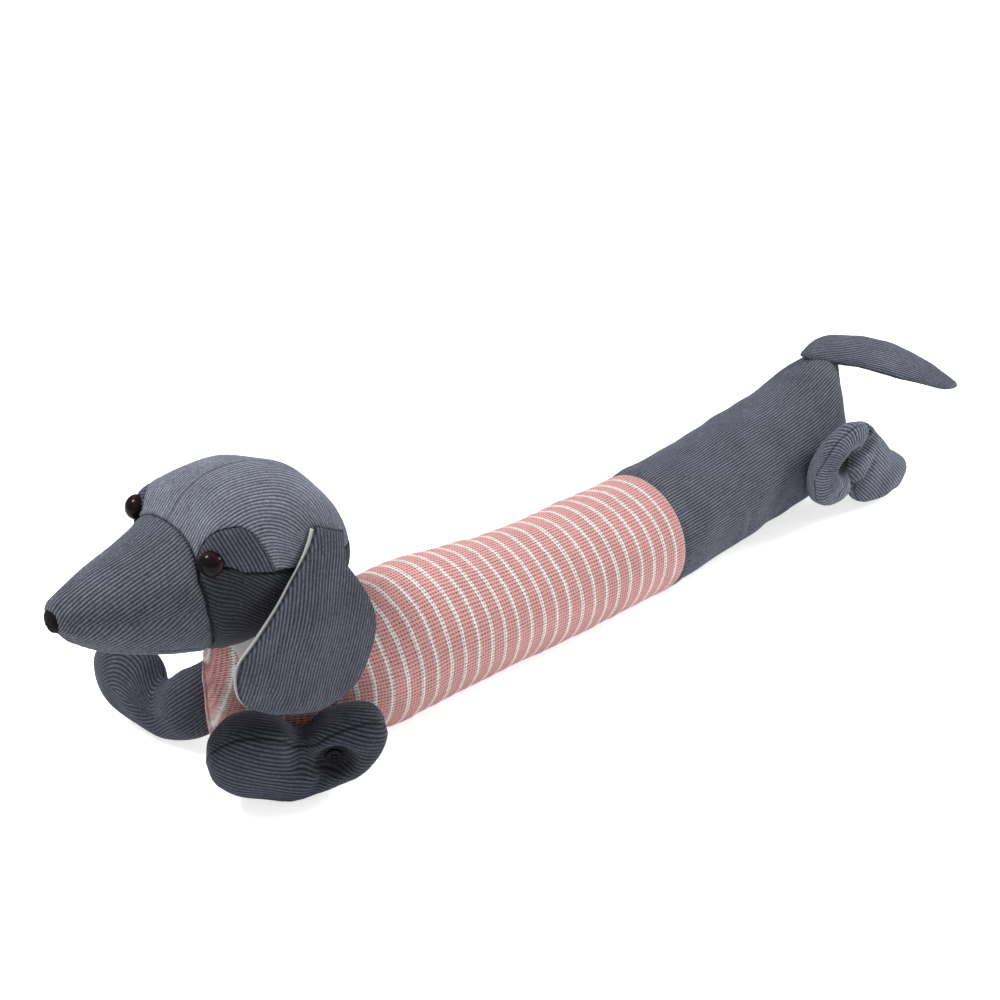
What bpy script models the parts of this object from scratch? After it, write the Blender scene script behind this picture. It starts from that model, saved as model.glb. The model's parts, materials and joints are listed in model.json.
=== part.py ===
"""Sausage-dog draught excluder: a long filled corduroy body in a striped knitted jumper, with a
stuffed head, ears, tail and four button-fixed legs. Metres, +Z up, lying along X on its belly,
nose towards -X. "Near" pieces are on the -Y side, "far" ones on the +Y side."""

import math

import bmesh
import bpy
import numpy as np

# Clearances and cloth thicknesses
GAP = 0.0003            # between pieces that touch
CUT_GAP = 0.0006        # between a piece and the curved one it is pressed against
HEAD_CUT = 0.0013       # the same against the head
KNIT = 0.0018           # jumper cloth
PANEL = 0.0022          # corduroy panels let into the head
PANEL_ROOM = 0.0018     # behind them
EAR_CLOTH = 0.0022      # each of an ear's two cloths

# From the middle of the bounding box to the layout's own zero
SHIFT = (-0.2581, -0.0209)

# Body: x, y of the centre line, half width, bottom, top
BODY = (
    (-0.1030, 0.0260, 0.0020, 0.0220, 0.0900),
    (-0.1000, 0.0250, 0.0080, 0.0100, 0.1010),
    (-0.0880, 0.0180, 0.0170, 0.0030, 0.1080),
    (-0.0650, 0.0080, 0.0290, 0.0000, 0.1140),
    (-0.0300, 0.0010, 0.0445, 0.0000, 0.1150),
    (0.0150, -0.0030, 0.0560, 0.0000, 0.1140),
    (0.0700, -0.0050, 0.0587, 0.0000, 0.1145),
    (0.1260, -0.0095, 0.0558, 0.0000, 0.1090),
    (0.2000, -0.0150, 0.0541, 0.0000, 0.1060),
    (0.2700, -0.0205, 0.0546, 0.0000, 0.1070),
    (0.3320, -0.0212, 0.0553, 0.0000, 0.1080),
    (0.3900, -0.0165, 0.0546, 0.0000, 0.1070),
    (0.4760, -0.0097, 0.0560, 0.0000, 0.1090),
    (0.5500, -0.0045, 0.0570, 0.0000, 0.1150),
    (0.5950, -0.0020, 0.0480, 0.0000, 0.1285),
    (0.6240, 0.0000, 0.0270, 0.0010, 0.1320),
    (0.6440, 0.0000, 0.0060, 0.0040, 0.1265),
    (0.6485, 0.0000, 0.0020, 0.0150, 0.1080),
)
BODY_SIDES = 20
BODY_SINK = 0.04        # share of its height that the section's round loses to the flat underside
JUMPER_STATIONS = 12
REAR_STATIONS = 10
HEM_X = 0.3220          # rear edge of the jumper
HEM_STEP = 0.0080       # length over which the body swells out behind the hem

# Head: x, bottom, widest level, top, half width, roundness of the upper half (1 is an ellipse)
HEAD_Y = 0.0190
HEAD_SHEAR = -0.10
HEAD = (
    (-0.2160, 0.1825, 0.1825, 0.1825, 0.0000, 1.00),
    (-0.2130, 0.1725, 0.1825, 0.1915, 0.0105, 1.00),
    (-0.2050, 0.1612, 0.1815, 0.1970, 0.0175, 1.00),
    (-0.1880, 0.1478, 0.1790, 0.2027, 0.0260, 1.02),
    (-0.1650, 0.1352, 0.1770, 0.2080, 0.0365, 1.05),
    (-0.1400, 0.1255, 0.1755, 0.2135, 0.0450, 1.05),
    (-0.1180, 0.1195, 0.1760, 0.2215, 0.0520, 0.95),
    (-0.1000, 0.1180, 0.1780, 0.2370, 0.0590, 0.78),
    (-0.0800, 0.1180, 0.1790, 0.2440, 0.0620, 0.80),
    (-0.0500, 0.1180, 0.1790, 0.2430, 0.0630, 0.88),
    (-0.0250, 0.1200, 0.1790, 0.2320, 0.0585, 0.95),
    (-0.0080, 0.1270, 0.1790, 0.2180, 0.0485, 0.95),
    (0.0020, 0.1420, 0.1790, 0.2020, 0.0320, 0.95),
    (0.0065, 0.1780, 0.1780, 0.1780, 0.0000, 1.00),
)
LOWER_ROUNDNESS = 0.92  # of the lower half
# The brows stand out: where along the rows, how far down from the crown, their spread, height
BULGE_AT, BULGE_DOWN = 0.505, 48.0
BULGE_LONG, BULGE_ROUND = 0.045, 26.0
BULGE = 0.0055
RING = 0.450            # share of the head's rows where the muzzle meets the crown
# That seam bows: degrees down from the crown, and the share of the rows it moves back by
RING_BOW = (
    (0.0, 0.011),
    (20.0, 0.010),
    (32.0, 0.006),
    (44.0, -0.002),
    (62.0, -0.020),
    (90.0, -0.024),
    (115.0, -0.018),
    (130.0, -0.011),
    (180.0, -0.008),
)
RING_BOW_LONG = 0.09    # how far along the rows the bow is felt

# Seams on the near side, mirrored on the far one, in degrees down from the crown. Brow patch:
# share of the rows, upper edge, lower edge. Cheek behind it: share of the rows, upper edge
BROW = (
    (0.454, 44.0, 50.0),
    (0.472, 39.5, 55.0),
    (0.500, 39.0, 60.0),
    (0.524, 40.5, 68.0),
    (0.545, 43.0, 77.0),
    (0.578, 47.0, 81.0),
    (0.602, 57.0, 83.0),
    (0.615, 75.0, 84.0),
    (0.620, 83.0, 84.5),
)
CHEEK = (
    (0.665, 86.0),
    (0.720, 88.0),
    (0.780, 89.0),
    (0.850, 91.0),
    (0.920, 94.0),
)
FAR_BROW_RAISE = 6.0    # degrees that the far brow patch sits higher by
GUSSET_START = 0.160
GUSSET_EDGE = 135.0     # degrees down from the crown
EYE_AT = {"near": 0.486, "far": 0.482}
EYE_DOWN = {"near": 55.0, "far": 45.0}   # degrees down from the crown
EYE_RADIUS = 0.0090
EYE_DEPTH = 0.0080      # how far the dome stands out
NOSE_AT = (0.0050, -0.0010, 0.0000)     # from the muzzle's tip
NOSE_SIZE = (0.0075, 0.0085, 0.0095)

# Near ear's outline, from its sewn edge down: front x and z, back x and z, y
EAR = (
    (-0.0420, 0.2110, -0.0185, 0.1970, -0.0388),
    (-0.0540, 0.2000, -0.0240, 0.1880, -0.0460),
    (-0.0725, 0.1847, -0.0265, 0.1790, -0.0505),
    (-0.0890, 0.1710, -0.0200, 0.1640, -0.0550),
    (-0.1105, 0.1552, -0.0140, 0.1480, -0.0590),
    (-0.1262, 0.1437, -0.0112, 0.1312, -0.0610),
    (-0.1305, 0.1280, -0.0150, 0.1150, -0.0625),
    (-0.1270, 0.1140, -0.0220, 0.1030, -0.0635),
    (-0.1130, 0.1010, -0.0310, 0.0900, -0.0635),
    (-0.0950, 0.0900, -0.0430, 0.0830, -0.0625),
    (-0.0740, 0.0825, -0.0600, 0.0805, -0.0620),
)
EAR_BOW = 0.0030        # outward swell across an ear
LINING_EDGE = 0.0012    # how far the lining rolls past the corduroy

# Neck band under the head: middle x, y, half length, half width, bottom, top
NECK = (-0.0480, 0.0110, 0.0380, 0.0265, 0.0900, 0.1400)

# Tail: share of its length, height, half width, half thickness
TAIL_FROM = (0.6030, 0.0110)
TAIL_TO = (0.7330, -0.0870)
TAIL_TILT = 35.0        # of its width above the horizontal, degrees
TAIL_SLANT = 1.1        # of its sewn end: how far the far edge starts behind, by half width
TAIL_SLANT_LONG = 0.30  # share of its length over which that fades
TAIL = (
    (0.000, 0.1380, 0.0060, 0.0020),
    (0.020, 0.1380, 0.0095, 0.0045),
    (0.100, 0.1365, 0.0140, 0.0070),
    (0.250, 0.1335, 0.0170, 0.0085),
    (0.450, 0.1265, 0.0195, 0.0090),
    (0.650, 0.1148, 0.0195, 0.0085),
    (0.800, 0.1040, 0.0160, 0.0070),
    (0.900, 0.0960, 0.0115, 0.0055),
    (0.960, 0.0917, 0.0070, 0.0045),
    (1.000, 0.0897, 0.0030, 0.0020),
)

# Front and hind legs, seen from the side: along, bottom, top, half thickness
FRONT_LEG = (
    (-0.0670, 0.0420, 0.0420, 0.0000),
    (-0.0630, 0.0260, 0.0570, 0.0110),
    (-0.0500, 0.0140, 0.0690, 0.0170),
    (-0.0320, 0.0055, 0.0720, 0.0190),
    (-0.0140, 0.0010, 0.0660, 0.0185),
    (0.0020, 0.0000, 0.0515, 0.0175),
    (0.0200, 0.0050, 0.0640, 0.0180),
    (0.0400, 0.0140, 0.0700, 0.0175),
    (0.0540, 0.0285, 0.0680, 0.0145),
    (0.0610, 0.0390, 0.0600, 0.0095),
    (0.0640, 0.0480, 0.0480, 0.0000),
)
HIND_LEG = (
    (-0.0420, 0.0640, 0.0640, 0.0000),
    (-0.0390, 0.0490, 0.0820, 0.0110),
    (-0.0280, 0.0300, 0.1020, 0.0170),
    (-0.0080, 0.0205, 0.1110, 0.0195),
    (0.0080, 0.0220, 0.1095, 0.0190),
    (0.0180, 0.0340, 0.1060, 0.0180),
    (0.0240, 0.0460, 0.1010, 0.0170),
    (0.0310, 0.0220, 0.0935, 0.0185),
    (0.0470, 0.0030, 0.0800, 0.0205),
    (0.0680, 0.0000, 0.0610, 0.0210),
    (0.0890, 0.0000, 0.0470, 0.0190),
    (0.1015, 0.0020, 0.0370, 0.0135),
    (0.1060, 0.0180, 0.0180, 0.0000),
)
LEG_STATIONS = 15
LEG_SIDES = 12

# Where each leg's button sits, along and up, and the ends of the creases that run from it
FRONT_BUTTON = (0.0235, 0.0380)
FRONT_CREASES = ((0.0085, 0.0130),)
HIND_BUTTON = (-0.0130, 0.0750)
HIND_CREASES = ((0.0230, 0.0970), (0.0100, 0.0440))

# Each leg: is it a front one, middle (x, y), turn in plan, bend in plan and where along it bends,
# lean out with height, height scale, side that faces out, fullness of its inner side
LEGS = {
    "front_leg_near": (True, (-0.0755, -0.0480), -32.0, 0.0, 0.0, 0.05, 1.00, -1, 1.82),
    "front_leg_far": (True, (-0.1065, 0.0815), -76.0, 88.0, 0.034, 0.00, 1.04, 1, 1.00),
    "hind_leg_near": (False, (0.5450, -0.0700), -3.0, 0.0, 0.0, 0.20, 1.00, -1, 1.00),
    "hind_leg_far": (False, (0.5480, 0.0800), 6.0, 0.0, 0.0, -0.35, 0.52, 1, 1.00),
}
BEND_LENGTH = 0.050     # stretch of a leg that takes its bend
BUTTON_RADIUS = 0.0065
BUTTON_THICK = 0.0026
BUTTON_HOLE = 0.0008    # radius of each of its four holes
BUTTON_HOLE_OUT = 0.0016
DIMPLE_FLOOR = 0.0060   # the dimple's floor, out from the leg's middle
DIMPLE_RADIUS = 0.0085
DIMPLE_FADE = 0.0060
CREASE_WIDTH = 0.0050
CREASE_DEPTH = 0.75     # share of the dimple's, where it leaves the dimple


def flow(rows, count):
    """A smooth run of `count` rows through a table's rows, even in row number."""
    rows = np.asarray(rows, float)
    slope = np.gradient(rows, axis=0)
    at = np.linspace(0, len(rows) - 1, count)
    i = np.minimum(at.astype(int), len(rows) - 2)
    t = (at - i)[:, None]
    return (
        (2 * t**3 - 3 * t**2 + 1) * rows[i]
        + (t**3 - 2 * t**2 + t) * slope[i]
        + (3 * t**2 - 2 * t**3) * rows[i + 1]
        + (t**3 - t**2) * slope[i + 1]
    )


def rounded(value, power):
    return np.sign(value) * np.abs(value) ** power


def material(name, colour, roughness):
    made = bpy.data.materials.new(name)
    made.use_nodes = True
    shader = made.node_tree.nodes["Principled BSDF"]
    shader.inputs["Base Color"].default_value = (*colour, 1.0)
    shader.inputs["Roughness"].default_value = roughness
    made.diffuse_color = (*colour, 1.0)
    return made


def piece(name, mesh, finish):
    """An object from a bmesh, facing out and shaded smooth, without a finish if it is a cutter."""
    bmesh.ops.recalc_face_normals(mesh, faces=mesh.faces)
    data = bpy.data.meshes.new(name)
    mesh.to_mesh(data)
    mesh.free()
    data.shade_smooth()
    made = bpy.data.objects.new(name, data)
    bpy.context.scene.collection.objects.link(made)
    made.location = (SHIFT[0], SHIFT[1], 0.0)
    if finish:
        data.materials.append(finish)
    else:
        made.hide_render = True
        made.display_type = "WIRE"
    return made


def cut(made, *cutters):
    for cutter in cutters:
        modifier = made.modifiers.new(cutter.name, "BOOLEAN")
        modifier.operation = "DIFFERENCE"
        modifier.solver = "EXACT"
        modifier.object = cutter


def skin(mesh, rings, start=None, end=None):
    """Triangles between closed rings of points, each end drawn to a point where one is given."""
    loops = [[mesh.verts.new(point) for point in ring] for ring in rings]
    for one, two in zip(loops, loops[1:]):
        for k in range(len(one)):
            n = (k + 1) % len(one)
            mesh.faces.new((one[k], one[n], two[n]))
            mesh.faces.new((one[k], two[n], two[k]))
    for loop, tip in ((loops[0], start), (loops[-1], end)):
        if tip is None:
            continue
        point = mesh.verts.new(tip)
        for k in range(len(loop)):
            mesh.faces.new((loop[k], loop[(k + 1) % len(loop)], point))
    return loops


def sheet(mesh, upper, lower):
    """A closed sheet between two grids of points."""
    grids = [[[mesh.verts.new(point) for point in row] for row in side] for side in (upper, lower)]
    rows, columns = len(upper), len(upper[0])
    for side in grids:
        for i in range(rows - 1):
            for j in range(columns - 1):
                mesh.faces.new((side[i][j], side[i][j + 1], side[i + 1][j + 1]))
                mesh.faces.new((side[i][j], side[i + 1][j + 1], side[i + 1][j]))
    rim = [(0, j) for j in range(columns)] + [(i, columns - 1) for i in range(1, rows)]
    rim += [(rows - 1, j) for j in range(columns - 2, -1, -1)] + [(i, 0) for i in range(rows - 2, 0, -1)]
    for (i, j), (k, m) in zip(rim, rim[1:] + rim[:1]):
        mesh.faces.new((grids[0][i][j], grids[0][k][m], grids[1][k][m], grids[1][i][j]))


# ---- Body and jumper ----


def stations(from_x, to_x, count):
    """Places between two ends, closer together near each of them."""
    share = np.linspace(0, 1, count)
    return from_x + (to_x - from_x) * (0.35 * share + 0.65 * (0.5 - 0.5 * np.cos(np.pi * share)))


def body_rings(inset, at):
    """Rings of the body's section, drawn in by inset(x), with the underside flat."""
    fine = flow(BODY, 600)
    around = np.linspace(0, 2 * np.pi, BODY_SIDES, endpoint=False)
    rings = []
    for x in at:
        _, y, half, bottom, top = (np.interp(x, fine[:, 0], column) for column in fine.T)
        drawn = inset(x)
        low = bottom - BODY_SINK * (top - bottom)
        ys = y + max(half - drawn, 0.0004) * np.sin(around)
        zs = (top + low) / 2 + ((top - low) / 2 - drawn) * np.cos(around)
        rings.append(np.column_stack([np.full(BODY_SIDES, x), ys, np.maximum(zs, drawn)]))
    return rings


def end_point(ring, out):
    return ring.mean(axis=0) + (out, 0, 0)


UNDER_JUMPER = stations(BODY[0][0] + 2 * KNIT, HEM_X, JUMPER_STATIONS)
BEHIND_JUMPER = stations(HEM_X + HEM_STEP, BODY[-1][0], REAR_STATIONS)


def make_body(finish):
    def inset(x):
        out = min(max((x - HEM_X) / HEM_STEP, 0.0), 1.0)
        return (KNIT + GAP) * (1 - out)

    mesh = bmesh.new()
    under = UNDER_JUMPER.copy()
    under[0] += GAP
    rings = body_rings(inset, np.concatenate([under, BEHIND_JUMPER]))
    skin(mesh, rings, end_point(rings[0], -0.0002), end_point(rings[-1], 0.001))
    return piece("body", mesh, finish)


def make_jumper(finish):
    """A knitted sleeve closed along the chest and open at its hem."""
    mesh = bmesh.new()
    outer = body_rings(lambda x: 0.0, [BODY[0][0], *UNDER_JUMPER])
    inner = body_rings(lambda x: KNIT, UNDER_JUMPER)
    out_loop = skin(mesh, outer, start=end_point(outer[0], -GAP))[-1]
    in_loop = skin(mesh, inner, start=end_point(inner[0], -0.0006))[-1]
    for k in range(BODY_SIDES):
        n = (k + 1) % BODY_SIDES
        mesh.faces.new((out_loop[k], out_loop[n], in_loop[n], in_loop[k]))
    return piece("jumper", mesh, finish)


def body_cutter():
    """The outside of jumper and body, a little swollen, for what is pressed against them."""
    mesh = bmesh.new()
    rings = body_rings(lambda x: -CUT_GAP, np.concatenate([[BODY[0][0]], UNDER_JUMPER, BEHIND_JUMPER]))
    skin(mesh, rings, end_point(rings[0], -2 * CUT_GAP), end_point(rings[-1], 2 * CUT_GAP))
    return piece("body_cutter", mesh, None)


# ---- Head ----

HEAD_FINE = flow(HEAD, 400)
HEAD_SHARE = np.linspace(0, 1, 400)


def head_point(q, down, inset=0.0):
    """A point on the head: q runs from nose to nape, `down` from the crown round the near side."""
    turned = np.abs(np.degrees(np.arctan2(np.sin(down), np.cos(down))))
    q = q + np.interp(turned, *zip(*RING_BOW)) * np.exp(-(((q - RING) / RING_BOW_LONG) ** 2))
    x, bottom, wide, top, half, power = (np.interp(q, HEAD_SHARE, column) for column in HEAD_FINE.T)
    rise = np.where(np.cos(down) > 0, top - wide, wide - bottom)
    power = np.where(np.cos(down) > 0, power, LOWER_ROUNDNESS)
    away = (turned - BULGE_DOWN) / BULGE_ROUND
    bulge = BULGE * np.exp(-(((q - BULGE_AT) / BULGE_LONG) ** 2) - away * away) - inset
    z = wide + np.maximum(rise + bulge, 0) * rounded(np.cos(down), power)
    y = HEAD_Y - np.maximum(half + bulge, 0) * rounded(np.sin(down), power)
    return np.stack([x + HEAD_SHEAR * (z - wide) - 0.7 * (bulge + inset), y, z], -1)


def head_cutter():
    mesh = bmesh.new()
    around = np.linspace(0, 2 * np.pi, 26, endpoint=False)
    shares = np.concatenate([np.linspace(0.006, RING, 8), HEAD_AT[1:], [0.992]])
    rings = [head_point(q, around, -HEAD_CUT) for q in shares]
    skin(mesh, rings, rings[0].mean(axis=0), rings[-1].mean(axis=0))
    return piece("head_cutter", mesh, None)


HEAD_AT = np.array([RING] + [row[0] for row in BROW[1:] + CHEEK] + [0.96, 0.985])


def make_muzzle(finish, *cutters):
    mesh = bmesh.new()
    around = np.linspace(0, 2 * np.pi, 20, endpoint=False)
    end = RING - GAP / 0.26
    rings = [head_point(q, around) for q in end * (np.arange(1, 10) / 9) ** 1.2]
    skin(mesh, rings, head_point(0.0, 0.0), rings[-1].mean(axis=0))
    made = piece("muzzle", mesh, finish)
    cut(made, *cutters)
    return made


def make_crown(name, side, finish, cutter):
    """Half of the stuffed back of the head, split along its middle seam."""
    mesh = bmesh.new()
    half_round = np.linspace(0, np.pi, 10) * side
    rings = []
    for q in HEAD_AT:
        ring = head_point(q, half_round)
        ring[:, 1] -= side * GAP / 2
        rings.append(ring)
    skin(mesh, rings, rings[0].mean(axis=0), rings[-1].mean(axis=0) + (0.0004, 0, 0))
    made = piece(name, mesh, finish)
    cut(made, cutter)
    return made


def panel(name, shares, upper, lower, side, steps, finish):
    """A sheet let into the head between two seams, or the cutter that makes room for it."""
    across = np.linspace(0, 1, steps)[None, :]
    upper, lower = np.asarray(upper)[:, None], np.asarray(lower)[:, None]
    down = np.radians(upper * (1 - across) + lower * across)
    q = np.asarray(shares)[:, None] + 0 * across
    outside, inside = (0.0, PANEL) if finish else (-0.004, PANEL + PANEL_ROOM)
    mesh = bmesh.new()
    sheet(mesh, head_point(q, down * side, outside), head_point(q, down * side, inside))
    return piece(name, mesh, finish)


def make_head(crown, dark, slate):
    seam = math.degrees(GAP / 0.05)
    edge = np.array([165.0, 150.0, 141.0, 137.0, GUSSET_EDGE, GUSSET_EDGE, GUSSET_EDGE, GUSSET_EDGE])
    gusset_at = np.linspace(GUSSET_START, RING - 0.003, 8)
    panel("chin_gusset", gusset_at, edge, 360 - edge, 1, 6, slate)
    room = gusset_at + 0
    room[0] -= 0.006
    room[-1] += 0.02
    gusset_cutter = panel("gusset_room", room, edge - 2 * seam, 360 - edge + 2 * seam, 1, 8, None)
    make_muzzle(slate, gusset_cutter, nose_mesh("nose_room", GAP, None))
    brow = np.array(BROW)
    cheek_at = [row[0] for row in BROW + CHEEK]
    room_at = [RING - 0.015, *cheek_at, cheek_at[-1] + 0.006]
    room_bottom = np.full(len(room_at), 184.0)
    for name, side in (("near", 1), ("far", -1)):
        raised = FAR_BROW_RAISE if side < 0 else 0.0
        upper, lower = brow[:, 1] - raised, brow[:, 2] - raised
        cheek_top = np.concatenate([lower, [row[1] for row in CHEEK]])
        room_top = np.array([upper[0], *upper, *cheek_top[len(brow):], cheek_top[-1]])
        panel("brow_" + name, brow[:, 0], upper, lower, side, 5, dark)
        bottom = np.full(len(cheek_at), 180.0 - seam)
        panel("cheek_" + name, cheek_at, cheek_top + 2 * seam, bottom, side, 12, dark)
        room = panel("room_" + name, room_at, room_top - 2 * seam, room_bottom, side, 19, None)
        make_crown("crown_" + name, side, crown, room)


def make_eye(name, finish, cutter):
    side = 1 if name == "near" else -1
    down = math.radians(EYE_DOWN[name]) * side
    at = EYE_AT[name]
    centre = head_point(at, down)
    aft = head_point(at + 0.02, down) - head_point(at - 0.02, down)
    round_it = head_point(at, down + 0.1) - head_point(at, down - 0.1)
    out = np.cross(round_it, aft)
    out = out / np.linalg.norm(out)
    out = out if np.dot(out, centre - (-0.09, HEAD_Y, 0.18)) > 0 else -out
    one = np.cross(out, (0, 0, 1))
    one = one / np.linalg.norm(one)
    two = np.cross(out, one)
    around = np.linspace(0, 2 * np.pi, 12, endpoint=False)[:, None]
    flat = np.cos(around) * one + np.sin(around) * two
    rings = [
        centre + EYE_RADIUS * math.cos(t) * flat + EYE_DEPTH * math.sin(t) * out
        for t in np.radians((-40, 0, 25, 48, 70))
    ]
    mesh = bmesh.new()
    skin(mesh, rings, centre - 0.9 * EYE_DEPTH * out, centre + EYE_DEPTH * out)
    made = piece("eye_" + name, mesh, finish)
    cut(made, cutter)


def nose_mesh(name, grow, finish):
    """The rounded pad at the tip of the muzzle, or its seat in the muzzle when grown."""
    middle = head_point(0.0, 0.0) + NOSE_AT
    long, wide, tall = (size + grow for size in NOSE_SIZE)
    around = np.linspace(0, 2 * np.pi, 14, endpoint=False)
    rings = []
    for t in np.radians((-60, -30, 0, 30, 60)):
        ys = wide * math.cos(t) * np.cos(around)
        zs = tall * math.cos(t) * np.sin(around)
        rings.append(middle + np.column_stack([np.full(14, long * math.sin(t)), ys, zs]))
    mesh = bmesh.new()
    skin(mesh, rings, middle - (long, 0, 0), middle + (long, 0, 0))
    return piece(name, mesh, finish)


def make_neck_band(finish, cutters):
    x, y, length, width, bottom, top = NECK
    around = np.linspace(0, 2 * np.pi, 16, endpoint=False)
    rings = [
        np.column_stack([x + length * np.cos(around), y + width * np.sin(around), np.full(16, z)])
        for z in (bottom, top)
    ]
    mesh = bmesh.new()
    skin(mesh, rings, rings[0].mean(axis=0), rings[-1].mean(axis=0))
    cut(piece("neck_band", mesh, finish), *cutters)


# ---- Ears ----


def ear_points(out, widen, side):
    """A grid over an ear, `out` from its middle, wider by `widen` at each edge."""
    rows = flow(EAR, 10)
    across = np.linspace(0, 1, 5)
    grid = []
    for front_x, front_z, back_x, back_z, y in rows:
        wide = across * (1 + 2 * widen / (back_x - front_x)) - widen / (back_x - front_x)
        xs = front_x + (back_x - front_x) * wide
        zs = front_z + (back_z - front_z) * wide
        ys = y - EAR_BOW * (1 - (2 * wide - 1) ** 2) - out
        if side < 0:
            ys = 2 * HEAD_Y - ys
        grid.append(np.column_stack([xs, ys, zs]))
    return grid


def make_ear(name, side, cloth, lining_cloth):
    half = CUT_GAP / 2
    for label, near, away, widen, finish in (
        ("ear_" + name, half, half + EAR_CLOTH, 0.0, cloth),
        ("ear_lining_" + name, -half, -half - EAR_CLOTH, LINING_EDGE, lining_cloth),
    ):
        mesh = bmesh.new()
        sheet(mesh, ear_points(near, widen, side), ear_points(away, widen, side))
        piece(label, mesh, finish)


# ---- Tail ----


def make_tail(finish, cutter):
    start, end = np.array(TAIL_FROM), np.array(TAIL_TO)
    heading = (end - start) / np.linalg.norm(end - start)
    aside = np.array([-heading[1], heading[0], 0.0])
    tilt = math.radians(TAIL_TILT)
    wide = math.cos(tilt) * aside + math.sin(tilt) * np.array([0.0, 0.0, 1.0])
    thick = np.cross([heading[0], heading[1], 0.0], wide)
    around = np.linspace(0, 2 * np.pi, 10, endpoint=False)
    rings = []
    for share, z, half_wide, half_thick in flow(TAIL, 13):
        middle = np.append(start + (end - start) * share, z)
        aft = TAIL_SLANT * max(1 - share / TAIL_SLANT_LONG, 0.0) ** 2 * np.append(heading, 0.0)
        rings.append(
            middle
            + half_wide * np.cos(around)[:, None] * (wide + aft)
            + half_thick * np.sin(around)[:, None] * thick
        )
    mesh = bmesh.new()
    skin(mesh, rings, rings[0].mean(axis=0), rings[-1].mean(axis=0))
    made = piece("tail", mesh, finish)
    cut(made, cutter)


# ---- Legs and buttons ----


class Leg:
    def __init__(self, name):
        front, self.middle, turn, bend, bend_at, self.lean, self.scale, self.side, self.inner = LEGS[name]
        self.rows = FRONT_LEG if front else HIND_LEG
        self.button = FRONT_BUTTON if front else HIND_BUTTON
        self.creases = FRONT_CREASES if front else HIND_CREASES
        self.along = np.linspace(self.rows[0][0], self.rows[-1][0], 200)
        share = np.clip((self.along - bend_at) / BEND_LENGTH + 0.5, 0, 1)
        self.heading = np.radians(turn + bend * share * share * (3 - 2 * share))
        step = np.gradient(self.along)
        run = np.column_stack([np.cumsum(np.cos(self.heading) * step), np.cumsum(np.sin(self.heading) * step)])
        self.run = run - [np.interp(0.0, self.along, column) for column in run.T]

    def out(self, along):
        heading = np.interp(along, self.along, self.heading)
        return np.array([math.sin(heading), -math.cos(heading), 0.0]) * -self.side

    def sunk(self, along, up):
        """How much of the dimple's depth a place on the outer side has sunk."""
        spot = np.stack([0 * up + along, up], -1) - self.button
        away = np.hypot(spot[..., 0], self.scale * spot[..., 1])
        share = np.exp(-((np.maximum(away - DIMPLE_RADIUS, 0) / DIMPLE_FADE) ** 2))
        for end in self.creases:
            line = np.subtract(end, self.button)
            far = np.clip(spot @ line / (line @ line), 0, 1)
            off = np.linalg.norm(spot - far[..., None] * line, axis=-1)
            share = np.maximum(share, CREASE_DEPTH * (1 - 0.6 * far) * np.exp(-((off / CREASE_WIDTH) ** 2)))
        return share

    def points(self, along, n, up):
        """World places at `n` out of the leg's middle and `up` its unscaled height."""
        place = [np.interp(along, self.along, column) for column in self.run.T]
        height = self.scale * np.asarray(up, float)
        centre = np.array([self.middle[0] + place[0], self.middle[1] + place[1], 0.0])
        aside = np.asarray(n, float) + self.lean * height
        return centre + aside[..., None] * self.out(along) + height[..., None] * np.array([0.0, 0.0, 1.0])


def tube(name, at, axis, radius, sides, low, high, finish):
    one = np.array([0.0, 0.0, 1.0])
    around = np.linspace(0, 2 * np.pi, sides, endpoint=False)[:, None]
    ring = at + radius * (np.cos(around) * one + np.sin(around) * np.cross(axis, one))
    mesh = bmesh.new()
    for loop in skin(mesh, [ring + low * axis, ring + high * axis]):
        mesh.faces.new(loop)
    made = piece(name, mesh, finish)
    made.data.set_sharp_from_angle(angle=math.radians(40))
    return made


def make_leg(name, finish, cutter):
    leg = Leg(name)
    around = np.linspace(0, 2 * np.pi, LEG_SIDES, endpoint=False)
    rings = []
    for along, bottom, top, thick in flow(leg.rows, LEG_STATIONS):
        n = thick * rounded(np.cos(around), 0.8) * np.where(np.cos(around) < 0, leg.inner, 1.0)
        up = (bottom + top) / 2 + (top - bottom) / 2 * rounded(np.sin(around), 0.85)
        up = np.maximum(up, 0.0)
        n = np.where(n > DIMPLE_FLOOR, n + (DIMPLE_FLOOR - n) * leg.sunk(along, up), n)
        rings.append(leg.points(along, n, up))
    mesh = bmesh.new()
    skin(mesh, rings[1:-1], rings[0][0], rings[-1][0])
    floor = leg.points(leg.button[0], DIMPLE_FLOOR, leg.button[1])
    seat = tube(name + "_seat", floor, leg.out(leg.button[0]), BUTTON_RADIUS + CUT_GAP, 12, 0, 0.03, None)
    cut(piece(name, mesh, finish), seat, cutter)


def make_button(name, finish):
    """A flat round button with four holes, on the floor of its leg's dimple."""
    leg = Leg(name)
    centre = leg.points(leg.button[0], DIMPLE_FLOOR + GAP, leg.button[1])
    out = leg.out(leg.button[0])
    label = "button_" + name.replace("_leg", "")
    made = tube(label, centre, out, BUTTON_RADIUS, 14, 0.0, BUTTON_THICK, finish)
    for k in range(4):
        turn = math.radians(45 + 90 * k)
        aside = math.sin(turn) * np.cross(out, (0, 0, 1)) + math.cos(turn) * np.array([0.0, 0.0, 1.0])
        at = centre + BUTTON_HOLE_OUT * aside
        cut(made, tube(f"{label}_hole_{k}", at, out, BUTTON_HOLE, 5, -0.001, BUTTON_THICK + 0.001, None))


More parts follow.
